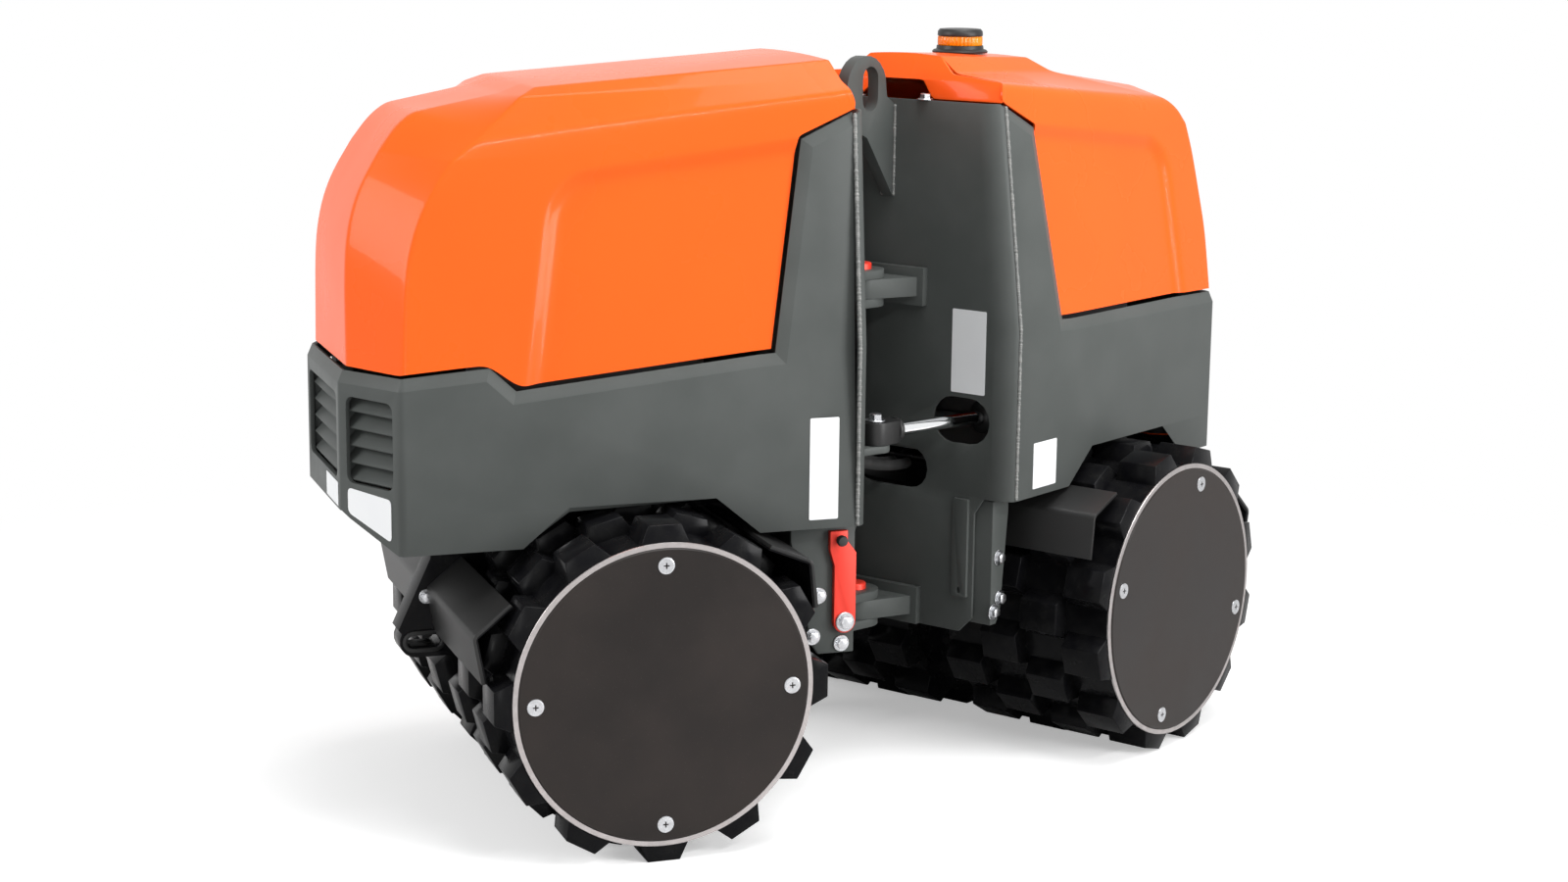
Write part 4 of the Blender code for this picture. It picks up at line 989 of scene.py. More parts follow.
    def end_panel(self) -> bpy.types.Object:
        """Build the upright panel that closes the hood over the hinge wall, with its wide notch."""
        thickness, foot = 0.006, self.half.WALL_TOP + 0.0016
        lower = [(0.045, foot + 0.034), (0.055, foot + 0.032), (0.080, foot + 0.004), (0.088, foot)]
        lower.append((self.rim[-1].y - 0.004, foot))
        outline = lower + [(point.y, point.z - 0.0006) for point in reversed(self.rim)]
        outline += [(-u, v) for u, v in reversed(lower)]
        panel = spawn(self.half.label("hood_panel"), filled([outline], thickness), Axis.X.value)
        slope = sorted((point.z, point.x) for point in self.rim)
        for vertex in panel.data.vertices:
            height = vertex.co.z
            (za, xa), (zb, xb) = slope[0], slope[-1]
            vertex.co.x += xa + (xb - xa) * (height - za) / (zb - za) + 0.002
        rounded_edges(panel, 0.0015)
        return baked(panel)

    def build(self) -> None:
        """Build and dress the hood."""
        body = self.half.name + "_cover"
        for thing in (self.skin(), self.end_panel()):
            thing.data.transform(self.half.axes)
            nodes = [self.half.label("hood")] if "skin" in thing.name else []
            dressed(thing, HOOD_ORANGE, body, *nodes, angle=50.0)


@dataclass
class ChassisShell:
    """The bent chassis sheet: sides, chamfers and end face with louvre windows and a pressed margin at the seam."""

    half: HalfFrame
    sheet: float = 0.008
    margin: float = 0.021
    margin_depth: float = 0.009
    bend_radius: float = 0.016
    bend_steps: int = 6
    bottom: float = 0.545
    arch_top: float = 0.613
    face_bottom: float = 0.602
    window_middle: float = 0.7305
    window_height: float = 0.151
    window_margin: float = 0.020
    window_corner: float = 0.016
    wall_gap: float = 0.0003

    @property
    def start(self) -> float:
        """How far out the sheet starts, beside the hinge wall."""
        return self.half.WALL_EDGE + self.wall_gap

    def corners(self) -> list[Point2]:
        """Give the plan's sharp corners, from the left edge round the end to the right one."""
        left = [(self.start, self.half.SIDE_HALF), (self.half.side_end, self.half.SIDE_HALF),
                (self.half.face, self.half.FACE_HALF)]
        return left + [(x, -y) for x, y in reversed(left)]

    def stations(self) -> list[float]:
        """Give how far along the unrolled sheet each corner lies."""
        places = [0.0]
        line = self.corners()
        for (xa, ya), (xb, yb) in zip(line, line[1:]):
            places.append(places[-1] + hypot(xb - xa, yb - ya))
        return places

    def bends(self) -> list[tuple[float, float, float]]:
        """Give each bend's station, the length of sheet to each side of it that bends, and its angle."""
        line, found = [Vector(p) for p in self.corners()], []
        for k, station in enumerate(self.stations()[1:-1], 1):
            angle = (line[k] - line[k - 1]).angle(line[k + 1] - line[k])
            found.append((station, self.bend_radius * sin(angle / 2) / cos(angle / 2), angle))
        return found

    def bent(self, along: float, height: float, depth: float) -> Vector:
        """Put a place on the unrolled sheet into this half's axes.

        Args:
            along: How far along the sheet.
            height: Its height.
            depth: How far in from the outer surface.

        Returns:
            The point.
        """
        line, places = [Vector(p) for p in self.corners()], self.stations()
        k = max(i for i in range(len(line) - 1) if along >= places[i] - MERGE or i == 0)
        ahead = (line[k + 1] - line[k]).normalized()
        point, normal = line[k] + ahead * (along - places[k]), Vector((-ahead.y, ahead.x))
        for corner, (station, reach, angle) in zip(line[1:], self.bends()):
            if abs(along - station) < reach:
                share = (along - station) / reach
                before = (corner - line[line.index(corner) - 1]).normalized()
                turn = -angle / 2 * (share + 1)
                start = corner - before * reach
                inward = Vector((before.y, -before.x)) * self.bend_radius
                normal = Matrix.Rotation(turn, 2) @ -inward.normalized()
                point = start + inward + normal * self.bend_radius
        point = point - normal * depth
        return Vector((point.x, self.half.leaned(point.y, height), height))

    def cuts(self) -> list[float]:
        """Give the stations where the sheet is divided so that it bends round."""
        steps = range(-self.bend_steps // 2, self.bend_steps // 2 + 1)
        return [station + reach * 2 * k / self.bend_steps for station, reach, _ in self.bends() for k in steps]

    def edge_lines(self) -> tuple[list[Point2], list[Point2]]:
        """Give the seam's edge and the fold beside it on the unrolled sheet, point for point, left to right."""
        places, seam = self.stations(), self.half.seam()
        side = [(x - self.start, z) for x, z in reversed(seam[1:])]
        side[0] = (0.0, side[0][1])
        flat = [(station, self.half.seam_level) for station in (places[2], places[3])]
        edge = side + flat + [(places[-1] - s, z) for s, z in reversed(side)]
        fold = []
        for k, point in enumerate(edge):
            here = Vector(point)
            before = (here - Vector(edge[k - 1])).normalized() if k else None
            after = (Vector(edge[k + 1]) - here).normalized() if k < len(edge) - 1 else None
            before, after = before or after, after or before
            below = Vector((before.y + after.y, -before.x - after.x)).normalized()
            size = self.margin / max(below.dot(Vector((before.y, -before.x))), 0.3)
            if k in (0, len(edge) - 1):
                below, size = Vector((0, -1)), self.margin / max(abs(after.x), 0.3)
            fold.append(tuple(here + below * size))
        return self.divided(edge, fold)

    def divided(self, edge: list[Point2], fold: list[Point2]) -> tuple[list[Point2], list[Point2]]:
        """Add points to both lines at the stations where the sheet is cut, and at its rounded corners."""
        out_edge, out_fold = [edge[0]], [fold[0]]
        for (a, b), (c, d) in zip(zip(edge, edge[1:]), zip(fold, fold[1:])):
            for cut in self.cuts():
                if a[0] + MERGE < cut < b[0] - MERGE:
                    share = (cut - a[0]) / (b[0] - a[0])
                    other = c[1] + (d[1] - c[1]) * (cut - c[0]) / (d[0] - c[0])
                    out_edge.append((cut, a[1] + (b[1] - a[1]) * share))
                    out_fold.append((cut, other))
            out_edge.append(b)
            out_fold.append(d)
        return out_edge, out_fold

    def lower_line(self) -> list[Point2]:
        """Give the sheet's lower edge on the unrolled sheet, from right to left."""
        places, centre = self.stations(), self.half.AXLE_OFFSET - self.start
        slope = (places[2] - places[1]) / self.half.CHAMFER
        left = [(0.0, self.bottom), (centre - 0.216, self.bottom), (centre - 0.134, self.arch_top),
                (centre + 0.134, self.arch_top), (centre + 0.216, self.bottom),
                (places[1] + 0.004 * slope, self.bottom), (places[1] + 0.066 * slope, self.face_bottom - 0.010),
                (places[1] + 0.076 * slope, self.face_bottom)]
        return [(places[-1] - s, z) for s, z in left] + list(reversed(left))

    def windows(self) -> list[list[Point2]]:
        """Give the louvre windows' outlines on the unrolled sheet."""
        places, found = self.stations(), []
        for a, b in zip(places[1:4], places[2:5]):
            outline = rounded_box((b - a) / 2 - self.window_margin, self.window_height / 2, self.window_corner)
            found.append([(u + (a + b) / 2, v + self.window_middle) for u, v in outline])
        return found

    def build(self) -> None:
        """Build and dress the sheet."""
        edge, fold = self.edge_lines()
        bm = filled([fold + self.lower_line(), *self.windows()])
        for cut in self.cuts():
            everything = bm.verts[:] + bm.edges[:] + bm.faces[:]
            bmesh.ops.bisect_plane(bm, geom=everything, dist=MERGE / 10, plane_co=(cut, 0, 0), plane_no=(1, 0, 0))
        for vertex in bm.verts:
            vertex.co = self.bent(vertex.co.x, vertex.co.y, 0.0)
        rows = [[bm.verts.new(self.bent(s, z, depth)) for s, z in line]
                for line, depth in ((fold, 0.0), (edge, self.margin_depth))]
        for k in range(len(edge) - 1):
            bm.faces.new((rows[0][k], rows[0][k + 1], rows[1][k + 1], rows[1][k]))
        bmesh.ops.remove_doubles(bm, verts=bm.verts, dist=MERGE * 3)
        bmesh.ops.recalc_face_normals(bm, faces=bm.faces)
        for face in bm.faces:
            centre = face.calc_center_median()
            if face.normal.x * (centre.x - self.half.side_end / 2) + face.normal.y * centre.y < 0:
                face.normal_flip()
        bmesh.ops.dissolve_limit(bm, angle_limit=radians(0.5), verts=bm.verts, edges=bm.edges)
        thing = spawn(self.half.label("chassis_sheet"), bm, self.half.axes)
        walled(thing, self.sheet)
        rounded_edges(thing, 0.0022, 2, 13.0)
        dressed(thing, CHASSIS_GREY, self.half.frame_body, self.half.label("shell"))


@dataclass
class Drum:
    """A drum in two halves: turned shells with lugs, machined rims, end discs with their screws, and the axle."""

    half: HalfFrame
    width: float = 0.850
    gap: float = 0.100
    radius: float = 0.270
    lug_height: float = 0.031
    rows: int = 4
    lugs: int = 12
    lug_base: Point2 = (0.092, 0.090)
    lug_top: Point2 = (0.059, 0.082)
    rim_inner: float = 0.2612
    disc_radius: float = 0.2608
    wall: float = 0.018
    recess: float = 0.010
    screw_ring: float = 0.231
    screw_radius: float = 0.0125

    @property
    def place(self) -> Matrix:
        """The drum's centre in the frame."""
        return self.half.axes @ Matrix.Translation((self.half.AXLE_OFFSET, 0, self.half.AXLE_HEIGHT))

    def spun(self, side: Side, profile: list[Point2], segments: int, closed: bool = True) -> bmesh.types.BMesh:
        """Turn a profile about the axle.

        Args:
            side: The side that its heights are counted out to.
            profile: Its points, as radius and height.
            segments: How many faces go round.
            closed: Whether the last point joins the first.

        Returns:
            The turned shape about the drum's centre.
        """
        bm = turned(profile, segments, closed)
        bmesh.ops.transform(bm, matrix=Axis.Y.value @ Matrix.Scale(-side.value, 4, (0, 0, 1)), verts=bm.verts)
        bmesh.ops.recalc_face_normals(bm, faces=bm.faces)
        return bm

    def shell(self, side: Side, word: str) -> None:
        """Build a half's turned shell with its inner web."""
        inner, outer = self.gap / 2, self.width / 2
        bore, web = self.radius - self.wall, self.gap / 2 + 0.016
        profile = [(self.radius, inner), (self.radius, outer - 0.004), (self.radius - 0.003, outer - 0.001),
                   (self.rim_inner, outer - 0.001), (self.rim_inner, outer - self.recess), (bore, outer - self.recess),
                   (bore, web + 0.016), (0.0455, web + 0.016), (0.0455, web), (bore, web), (bore, inner)]
        thing = spawn(self.half.label(f"drum_shell_{word}"), self.spun(side, profile, 144), self.place)
        dressed(thing, CAST_BLACK, self.half.name + "_drum", self.half.label(f"drum_{word}"), angle=30.0)

    def rim(self, side: Side, word: str) -> None:
        """Build the bright machined ring on a half's outer end."""
        outer = self.width / 2
        profile = [(self.rim_inner, outer - 0.004), (self.rim_inner + 0.0004, outer), (self.radius + 0.0002, outer),
                   (self.radius + 0.0008, outer - 0.0012), (self.radius + 0.0004, outer - 0.004)]
        thing = spawn(self.half.label(f"drum_rim_{word}"), self.spun(side, profile, 180), self.place)
        dressed(thing, MACHINED_STEEL, self.half.name + "_drum", angle=30.0)

    def lug(self) -> bpy.types.Object:
        """Make one lug, its foot sunk in the drum and +Z away from the axle."""
        bm = bmesh.new()
        top_height = self.radius + self.lug_height
        levels = ((self.radius - 0.008, self.lug_base), (top_height, self.lug_top))
        rings = []
        for height, (along, across) in levels:
            rings.append([bm.verts.new((u * along / 2, v * across / 2, height - self.radius))
                          for u, v in ((1, 1), (-1, 1), (-1, -1), (1, -1))])
        bm.faces.new(rings[1])
        bm.faces.new(list(reversed(rings[0])))
        for k in range(4):
            n = (k + 1) % 4
            bm.faces.new((rings[0][k], rings[0][n], rings[1][n], rings[1][k]))
        thing = spawn("lug", bm)
        rounded_edges(thing, 0.0016, 2)
        return baked(thing)

    def lug_rows(self, side: Side, word: str) -> None:
        """Set a half's lugs in staggered rows."""
        pitch = (self.width - self.gap) / 2 / self.rows
        first = side.value * (self.width / 2 - pitch / 2)
        thing = self.lug()
        thing.name = self.half.label(f"drum_lugs_{word}")
        grown(thing, ring_tree(), CAST_BLACK, count=self.lugs, rows=self.rows, radius=self.radius, first_row=first,
              row_step=-side.value * pitch, first_turn=self.half.lug_phase)
        thing.data.transform(self.place)
        dressed(thing, CAST_BLACK, self.half.name + "_drum", angle=60.0)

    def disc(self, side: Side, word: str) -> None:
        """Build a half's end disc and its four screws."""
        outer = self.width / 2 + 0.002
        profile = [(0, outer), (self.disc_radius - 0.002, outer), (self.disc_radius, outer - 0.002),
                   (self.disc_radius, outer - 0.011), (0, outer - 0.011)]
        body = self.half.name + "_drum"
        thing = spawn(self.half.label(f"end_disc_{word}"), self.spun(side, profile, 144, False), self.place)
        dressed(thing, DISC_BROWN, body, self.half.label(f"disc_{word}"))
        aim, spread = Vector((0, side.value, 0)), []
        for k in range(4):
            turn = self.half.screw_phase + k * pi / 2
            spread.append((Vector((self.screw_ring * cos(turn), side.value * outer, self.screw_ring * sin(turn))), aim))
        screws = spots(self.half.label(f"disc_screws_{word}"), countersunk_screw(self.screw_radius), spread, ZINC)
        screws.data.transform(self.place)
        dressed(screws, ZINC, body)

    def build(self) -> None:
        """Build and dress the whole drum."""
        for side, word in ((self.half.near, "near"), (Side(-self.half.near.value), "far")):
            self.shell(side, word)
            self.rim(side, word)
            self.lug_rows(side, word)
            self.disc(side, word)
        trimmed(self.half.label("axle_shaft"), self.half.label("axle"), 0.002, MACHINED_STEEL, self.half.name + "_drum")


@dataclass
class DrumFrame:
    """The glossy cast frame between the drum halves, with its buffers, its tie-down slot and bolts."""

    half: HalfFrame
    eye_offset: float = 0.336
    eye_height: float = 0.322
    half_thickness: float = 0.028
    beam_offset: float = 0.290
    buffer_y: float = 0.190
    buffer_low: float = 0.568
    buffer_high: float = 0.612
    fold_reach: float = 0.3519
    fold_radius: float = 0.014
    fold_turn: float = 30.6
    lip: Point2 = (0.0730, 0.3092)
    scraper_half: float = 0.3915
    scraper_sheet: float = 0.006
    # The frame's bolts on each face, as X from the axle and Z
    bolts: tuple[Point2, ...] = ((0.330, 0.405), (0.060, 0.470), (-0.060, 0.470), (-0.250, 0.470))
    buffer_radii: tuple[tuple[int, float], ...] = ((1, 0.036), (-1, 0.029))
    scraper_turns: tuple[tuple[int, float], ...] = ((1, 20.0), (-1, 37.0))

    def scrapers(self) -> None:
        """Build the folded skins of both scraper bars, each with a round back and two lips."""
        centre = self.fold_reach - self.fold_radius / cos(radians(self.fold_turn))
        fold = arc((0, centre), self.fold_radius, 90 - self.fold_turn, 90 + self.fold_turn, 8)
        outer = [self.lip, *fold, (-self.lip[0], self.lip[1])]
        outline = outer + [(u * 0.97, v - self.scraper_sheet) for u, v in reversed(outer)]
        for sign, turn in self.scraper_turns:
            bent = Matrix.Rotation(radians(sign * (turn - 90)), 4, "Z")
            place = Matrix.Translation((self.half.AXLE_OFFSET, 0, self.half.AXLE_HEIGHT)) @ Axis.Y.value @ bent
            word = "outer" if sign > 0 else "inner"
            bar = spawn(self.half.label(f"scraper_{word}"), filled([outline], 2 * self.scraper_half),
                        self.half.axes @ place)
            rounded_edges(bar, 0.0014, 2, 40.0)
            dressed(bar, GLOSS_BLACK, self.half.frame_body)

    def build(self) -> None:
        """Build and dress the drum frame."""
        self.scrapers()
        half, body = self.half, self.half.frame_body
        trimmed(half.label("drum_frame"), half.label("yoke"), 0.006, CAST_BLACK, body, 3)
        lips = []
        for side in Side:
            outer = arc((0.019, 0), 0.020, -90, 90, 10) + arc((-0.019, 0), 0.020, 90, 270, 10)
            hole = arc((0.019, 0), 0.012, -90, 90, 10) + arc((-0.019, 0), 0.012, 90, 270, 10)
            centre = (half.AXLE_OFFSET + self.eye_offset, side.value * (self.half_thickness + 0.002), self.eye_height)
            lips.append(spawn("lip", filled([outer, hole], 0.006), Matrix.Translation(centre) @ Axis.Y.value))
        lip = joined(half.label("tie_down_lip"), lips)
        lip.data.transform(half.axes)
        rounded_edges(lip, 0.0018)
        dressed(lip, GLOSS_BLACK, body)
        self.buffers()
        places = half.flank_spots(tuple((half.AXLE_OFFSET + x, z) for x, z in self.bolts), self.half_thickness)
        dressed(spots(half.label("frame_bolts"), hex_bolt(0.0095, 0.011), places, ZINC), ZINC, body)

    def buffers(self) -> None:
        """Build the waisted rubber buffers and the thin orange ring round each."""
        sleeves, rings = [], []
        waist = (self.buffer_low + self.buffer_high) / 2
        for sign, radius in self.buffer_radii:
            profile = [(0, self.buffer_low), (radius + 0.004, self.buffer_low), (radius + 0.003, waist - 0.010),
                       (radius, waist), (radius + 0.003, waist + 0.010), (radius + 0.004, self.buffer_high),
                       (0, self.buffer_high)]
            low = self.buffer_low - 0.001
            band = [(radius, low), (radius + 0.007, low), (radius + 0.007, low + 0.003), (radius, low + 0.003)]
            for side in Side:
                centre = Matrix.Translation((self.half.AXLE_OFFSET + sign * self.beam_offset,
                                             side.value * self.buffer_y, 0))
                sleeves.append(spawn("sleeve", turned(profile, 40), centre))
                rings.append(spawn("ring", turned(band, 40, closed=True), centre))
        for word, things, finish in (("buffers", sleeves, RUBBER), ("buffer_rings", rings, HOOD_ORANGE)):
            thing = joined(self.half.label(word), things)
            thing.data.transform(self.half.axes)
            dressed(thing, finish, self.half.frame_body)


@dataclass
class HingeStructure:
    """The plates between the halves: hinge walls, leg boxes, decks, hinge eyes, their welds and bolts."""

    half: HalfFrame
    hinge_heights: tuple[float, float] = (0.318, 0.936)
    plate_half: float = 0.020
    root_weld: Point2 = (0.010, 0.082)
    edge_weld: Point2 = (0.550, 1.278)
    eye_weld: Point2 = (1.105, 1.270)
    eye_half: float = 0.013
    bead_radius: float = 0.0038
    bead_pitch: float = 0.0034
    # The leg bolts' places in X and Z
    bolts: dict[str, tuple[Point2, ...]] = field(default_factory=lambda: {
        "front": ((0.167, 0.410), (0.178, 0.334), (0.122, 0.318)),
        "rear": ((0.118, 0.430), (0.124, 0.350), (0.104, 0.326))})
    leg_face: float = 0.2502
    top_bolt: float = 0.078

    def wall(self) -> None:
        """Copy the hinge wall, lean its upper part in with the sides and flatten its bent flanks."""
        half = self.half
        thing = refined(half.label("hinge_plate"), half.label("hinge_wall"), 0.003)
        bm = bmesh.new()
        bm.from_mesh(thing.data)
        bmesh.ops.transform(bm, matrix=half.axes.inverted(), verts=bm.verts)
        everything = bm.verts[:] + bm.edges[:] + bm.faces[:]
        bmesh.ops.bisect_plane(bm, geom=everything, plane_co=(0, 0, half.LEAN_FOOT), plane_no=(0, 0, 1))
        for vertex in bm.verts:
            x, y, z = vertex.co
            vertex.co.y = half.leaned(y, z)
            vertex.co.x = x if x < half.HINGE_WALL else half.HINGE_WALL + (x - half.HINGE_WALL) * half.WALL_SQUASH
        bmesh.ops.transform(bm, matrix=half.axes, verts=bm.verts)
        bm.to_mesh(thing.data)
        bm.free()
        dressed(thing, CHASSIS_GREY, half.frame_body, half.label("hinge_wall"))

    def plates(self) -> None:
        """Round the edges of the welded plates and dress them."""
        half = self.half
        for word, node, width in (("leg_channel", "leg_box", 0.002),
                                  ("floor_plate", "deck", 0.0015), ("louvre_slats", "grille", 0.0010)):
            trimmed(half.label(word), half.label(node), width, CHASSIS_GREY, half.frame_body)

    def welds(self) -> None:
        """Lay weld beads down both edges of the hinge wall and round the hinge plates' roots."""
        half, bm = self.half, bmesh.new()
        lines: list[list[Point3]] = []
        for side in Side:
            y = side.value * half.SIDE_HALF
            lines.append([(half.WALL_EDGE - 0.002, half.leaned(y, z), z)
                          for z in (self.edge_weld[0], half.LEAN_FOOT, self.edge_weld[1])])
            for height in self.hinge_heights:
                for shift in (-self.plate_half, self.plate_half):
                    lines.append([(half.HINGE_WALL, side.value * root, height + shift) for root in self.root_weld])
        if half.name == "rear":
            lines += [[(half.HINGE_WALL, y, z) for z in self.eye_weld] for y in (-self.eye_half, self.eye_half)]
        for line in lines:
            points = [bm.verts.new(half.place(point)) for point in line]
            for a, b in zip(points, points[1:]):
                bm.edges.new((a, b))
        thing = spawn(half.label("weld_beads"), bm)
        grown(thing, bead_tree(), WELD_GREY, radius=self.bead_radius, pitch=self.bead_pitch)
        dressed(thing, WELD_GREY, half.frame_body, angle=80.0)

    def leg_bolts(self) -> None:
        """Set the zinc bolts in each leg plate, and two on top of the hinge wall."""
        half = self.half
        places = half.flank_spots(self.bolts[half.name], self.leg_face)
        middle = half.HINGE_WALL + half.WALL_THICKNESS / 2
        places += [(half.place((middle, side.value * self.top_bolt, half.WALL_TOP)), Vector((0, 0, 1)))
                   for side in Side]
        dressed(spots(half.label("leg_bolts"), hex_bolt(0.0105, 0.012), places, ZINC), ZINC, half.frame_body)

    def stop_bars(self) -> None:
        """Build the slotted upright bars low on the rear hinge wall."""
        half, bars = self.half, []
        slot = [(u, v - 0.082) for u, v in rounded_box(0.004, 0.006, 0.0038)]
        for side in Side:
            centre = (half.HINGE_WALL - 0.0038, side.value * 0.188, 0.446)
            bars.append(spawn("bar", filled([rounded_box(0.017, 0.095, 0.002), slot], 0.008),
                              Matrix.Translation(centre) @ Axis.X.value))
        thing = joined(half.label("stop_bars"), bars)
        thing.data.transform(half.axes)
        rounded_edges(thing, 0.0012)
        dressed(thing, CHASSIS_GREY, half.frame_body)

    def build(self) -> None:
        """Build and dress all of it."""
        if self.half.name == "rear":
            self.stop_bars()
        self.wall()
        self.plates()
        self.welds()
        self.leg_bolts()


@dataclass
class SteeringHinge:
    """The rear half's hinge eyes, the pins, and the lifting eye above them."""

    rear: HalfFrame

    def build(self) -> None:
        """Build and dress the eyes and pins."""
        for word in ("lower", "upper"):
            trimmed(f"{word}_eye_plate", f"{word}_hinge_eye", 0.003, CHASSIS_GREY, self.rear.frame_body)
            trimmed(f"{word}_pin", f"{word}_hinge_pin", 0.003, LOCK_RED, "front_frame")
        trimmed("lifting_eye_plate", "lifting_eye", 0.004, CHASSIS_GREY, self.rear.frame_body, 3)


@dataclass
class SteeringCylinder:
    """The steering cylinder: barrel, stand, chromed rod, and the forked end on the front half's lug."""

    front: HalfFrame
    rear: HalfFrame
    height: float = 0.690
    eye: Point2 = (0.030, 0.170)
    base: Point2 = (0.360, -0.240)
    rod_radius: float = 0.0125
    barrel_length: float = 0.215

    def build(self) -> None:
        """Build and dress the cylinder and the lug."""
        trimmed("barrel_body", "cylinder_barrel", 0.003, GLOSS_BLACK, "barrel")
        trimmed("cylinder_pedestal", "cylinder_stand", 0.002, CHASSIS_GREY, "rear_frame")
        trimmed("rod_lug", "steering_lug", 0.002, CHASSIS_GREY, "front_frame")
        eye = self.front.place((*self.eye, self.height))
        base = self.rear.place((*self.base, self.height))
        reach = eye - base
        place = Matrix.Translation(base) @ reach.to_track_quat("X", "Z").to_matrix().to_4x4()
        length = reach.length
        stem = turned([(0, 0), (self.rod_radius, 0), (self.rod_radius, 1), (0, 1)], 48)
        start, stop = self.barrel_length - 0.005, length - 0.050
        along = place @ Matrix.Translation((start, 0, 0)) @ Axis.X.value @ Matrix.Diagonal((1, 1, stop - start, 1))
        dressed(spawn("chromed_rod", stem, along), CHROME, "rod", "cylinder_rod")
        gland = [(0.0128, 0), (0.027, 0), (0.031, 0.003), (0.031, 0.012), (0.027, 0.014), (0.0165, 0.016),
                 (0.0128, 0.014)]
        ring = spawn("cylinder_gland", turned(gland, 48, closed=True),
                     place @ Matrix.Translation((self.barrel_length, 0, 0)) @ Axis.X.value)
        dressed(ring, GLOSS_BLACK, "barrel")
        dressed(self.rod_end(place, length), GLOSS_BLACK, "rod")
        bolt = spots("rod_end_bolt", hex_bolt(0.013, 0.014), [(eye + Vector((0, 0, 0.0212)), Vector((0, 0, 1)))], ZINC)
        dressed(bolt, ZINC, "rod")

    def rod_end(self, place: Matrix, length: float) -> bpy.types.Object:
        """Make the black collar and the rounded eye at the rod's end."""
        collar = [(0, -0.055), (0.0195, -0.055), (0.0225, -0.053), (0.0225, -0.045), (0.0195, -0.043), (0, -0.043)]
        neck = spawn("neck", turned(collar, 40), place @ Matrix.Translation((length, 0, 0)) @ Axis.X.value)
        outline = arc((0, 0), 0.027, -100, 100, 24) + [(-0.036, 0.024), (-0.045, 0.018), (-0.045, -0.018),
                                                       (-0.036, -0.024)]
        cheek = spawn("cheek", filled([outline], 0.0415), place @ Matrix.Translation((length, 0, 0)))
        thing = joined("rod_end", [neck, cheek])
        rounded_edges(thing, 0.0028, 3)
        return thing


@dataclass
class Hoses:
    """The hydraulic hoses from the front hinge wall to the opening in the rear one."""

    front: HalfFrame
    rear: HalfFrame
    radius: float = 0.010
    starts: tuple[Point2, ...] = ((0.060, 0.640), (0.100, 0.625))
    end: Point2 = (-0.004, 0.585)
    pitch: float = 0.034
    steps: int = 40

    def build(self) -> None:
        """Build both hoses, bent between the halves."""
        wall = self.front.HINGE_WALL - 0.0003
        for k, (y, z) in enumerate(self.starts):
            across = self.end[0] - self.pitch * k
            a = self.front.place((wall - 0.012, y, z))
            b = self.front.place((wall - 0.05, y, z))
            c = self.rear.place((0.02, across, self.end[1]))
            d = self.rear.place((wall + 0.0303, across, self.end[1]))
            points = [self.front.place((wall, y, z))]
            for j in range(self.steps + 1):
                t = j / self.steps
                s = 1 - t
                points.append(a * s ** 3 + b * 3 * s * s * t + c * 3 * s * t * t + d * t ** 3)
            name = f"hydraulic_hose_{k + 1}"
            thing = spawn(name, tube(points, self.radius))
            thing.data.materials.append(RUBBER.material())
            thing.data.shade_smooth()
            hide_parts(f"hose_{k + 1}")
            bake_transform(thing)
            LOG.info("%s: %d faces", name, len(thing.data.polygons))


@dataclass
class LockBar:
    """The red bar that locks the steering, with its knob, pivot nut and washers."""

    front: HalfFrame
    pivot: Point3 = (0.120, 0.2563, 0.361)

    def build(self) -> None:
        """Build and dress the bar and what is on it."""
        trimmed("lock_bar_plate", "lock_bar", 0.0014, LOCK_RED, "lock")
        x, y, z = self.pivot
        knob = [(0, 0), (0.005, 0), (0.006, 0.006), (0.0095, 0.010), (0.0105, 0.016), (0.0085, 0.022), (0, 0.0245)]
        ball = spawn("lock_bar_knob", turned(knob, 32),
                     self.front.axes @ Matrix.Translation((x + 0.013, y + 0.006, z + 0.155)) @ Axis.Y.value
                     @ Matrix.Scale(-1, 4, (0, 0, 1)))
        ball.data.flip_normals()
        dressed(ball, RUBBER, "lock")
        nut = hex_bolt(0.0125, 0.015)
        place = [(self.front.place((x, y + 0.0063, z)), self.front.way((0, 1, 0)))]
        dressed(spots("lock_bar_nut", nut, place, ZINC), ZINC, "front_frame", "lock_bar_bolt")


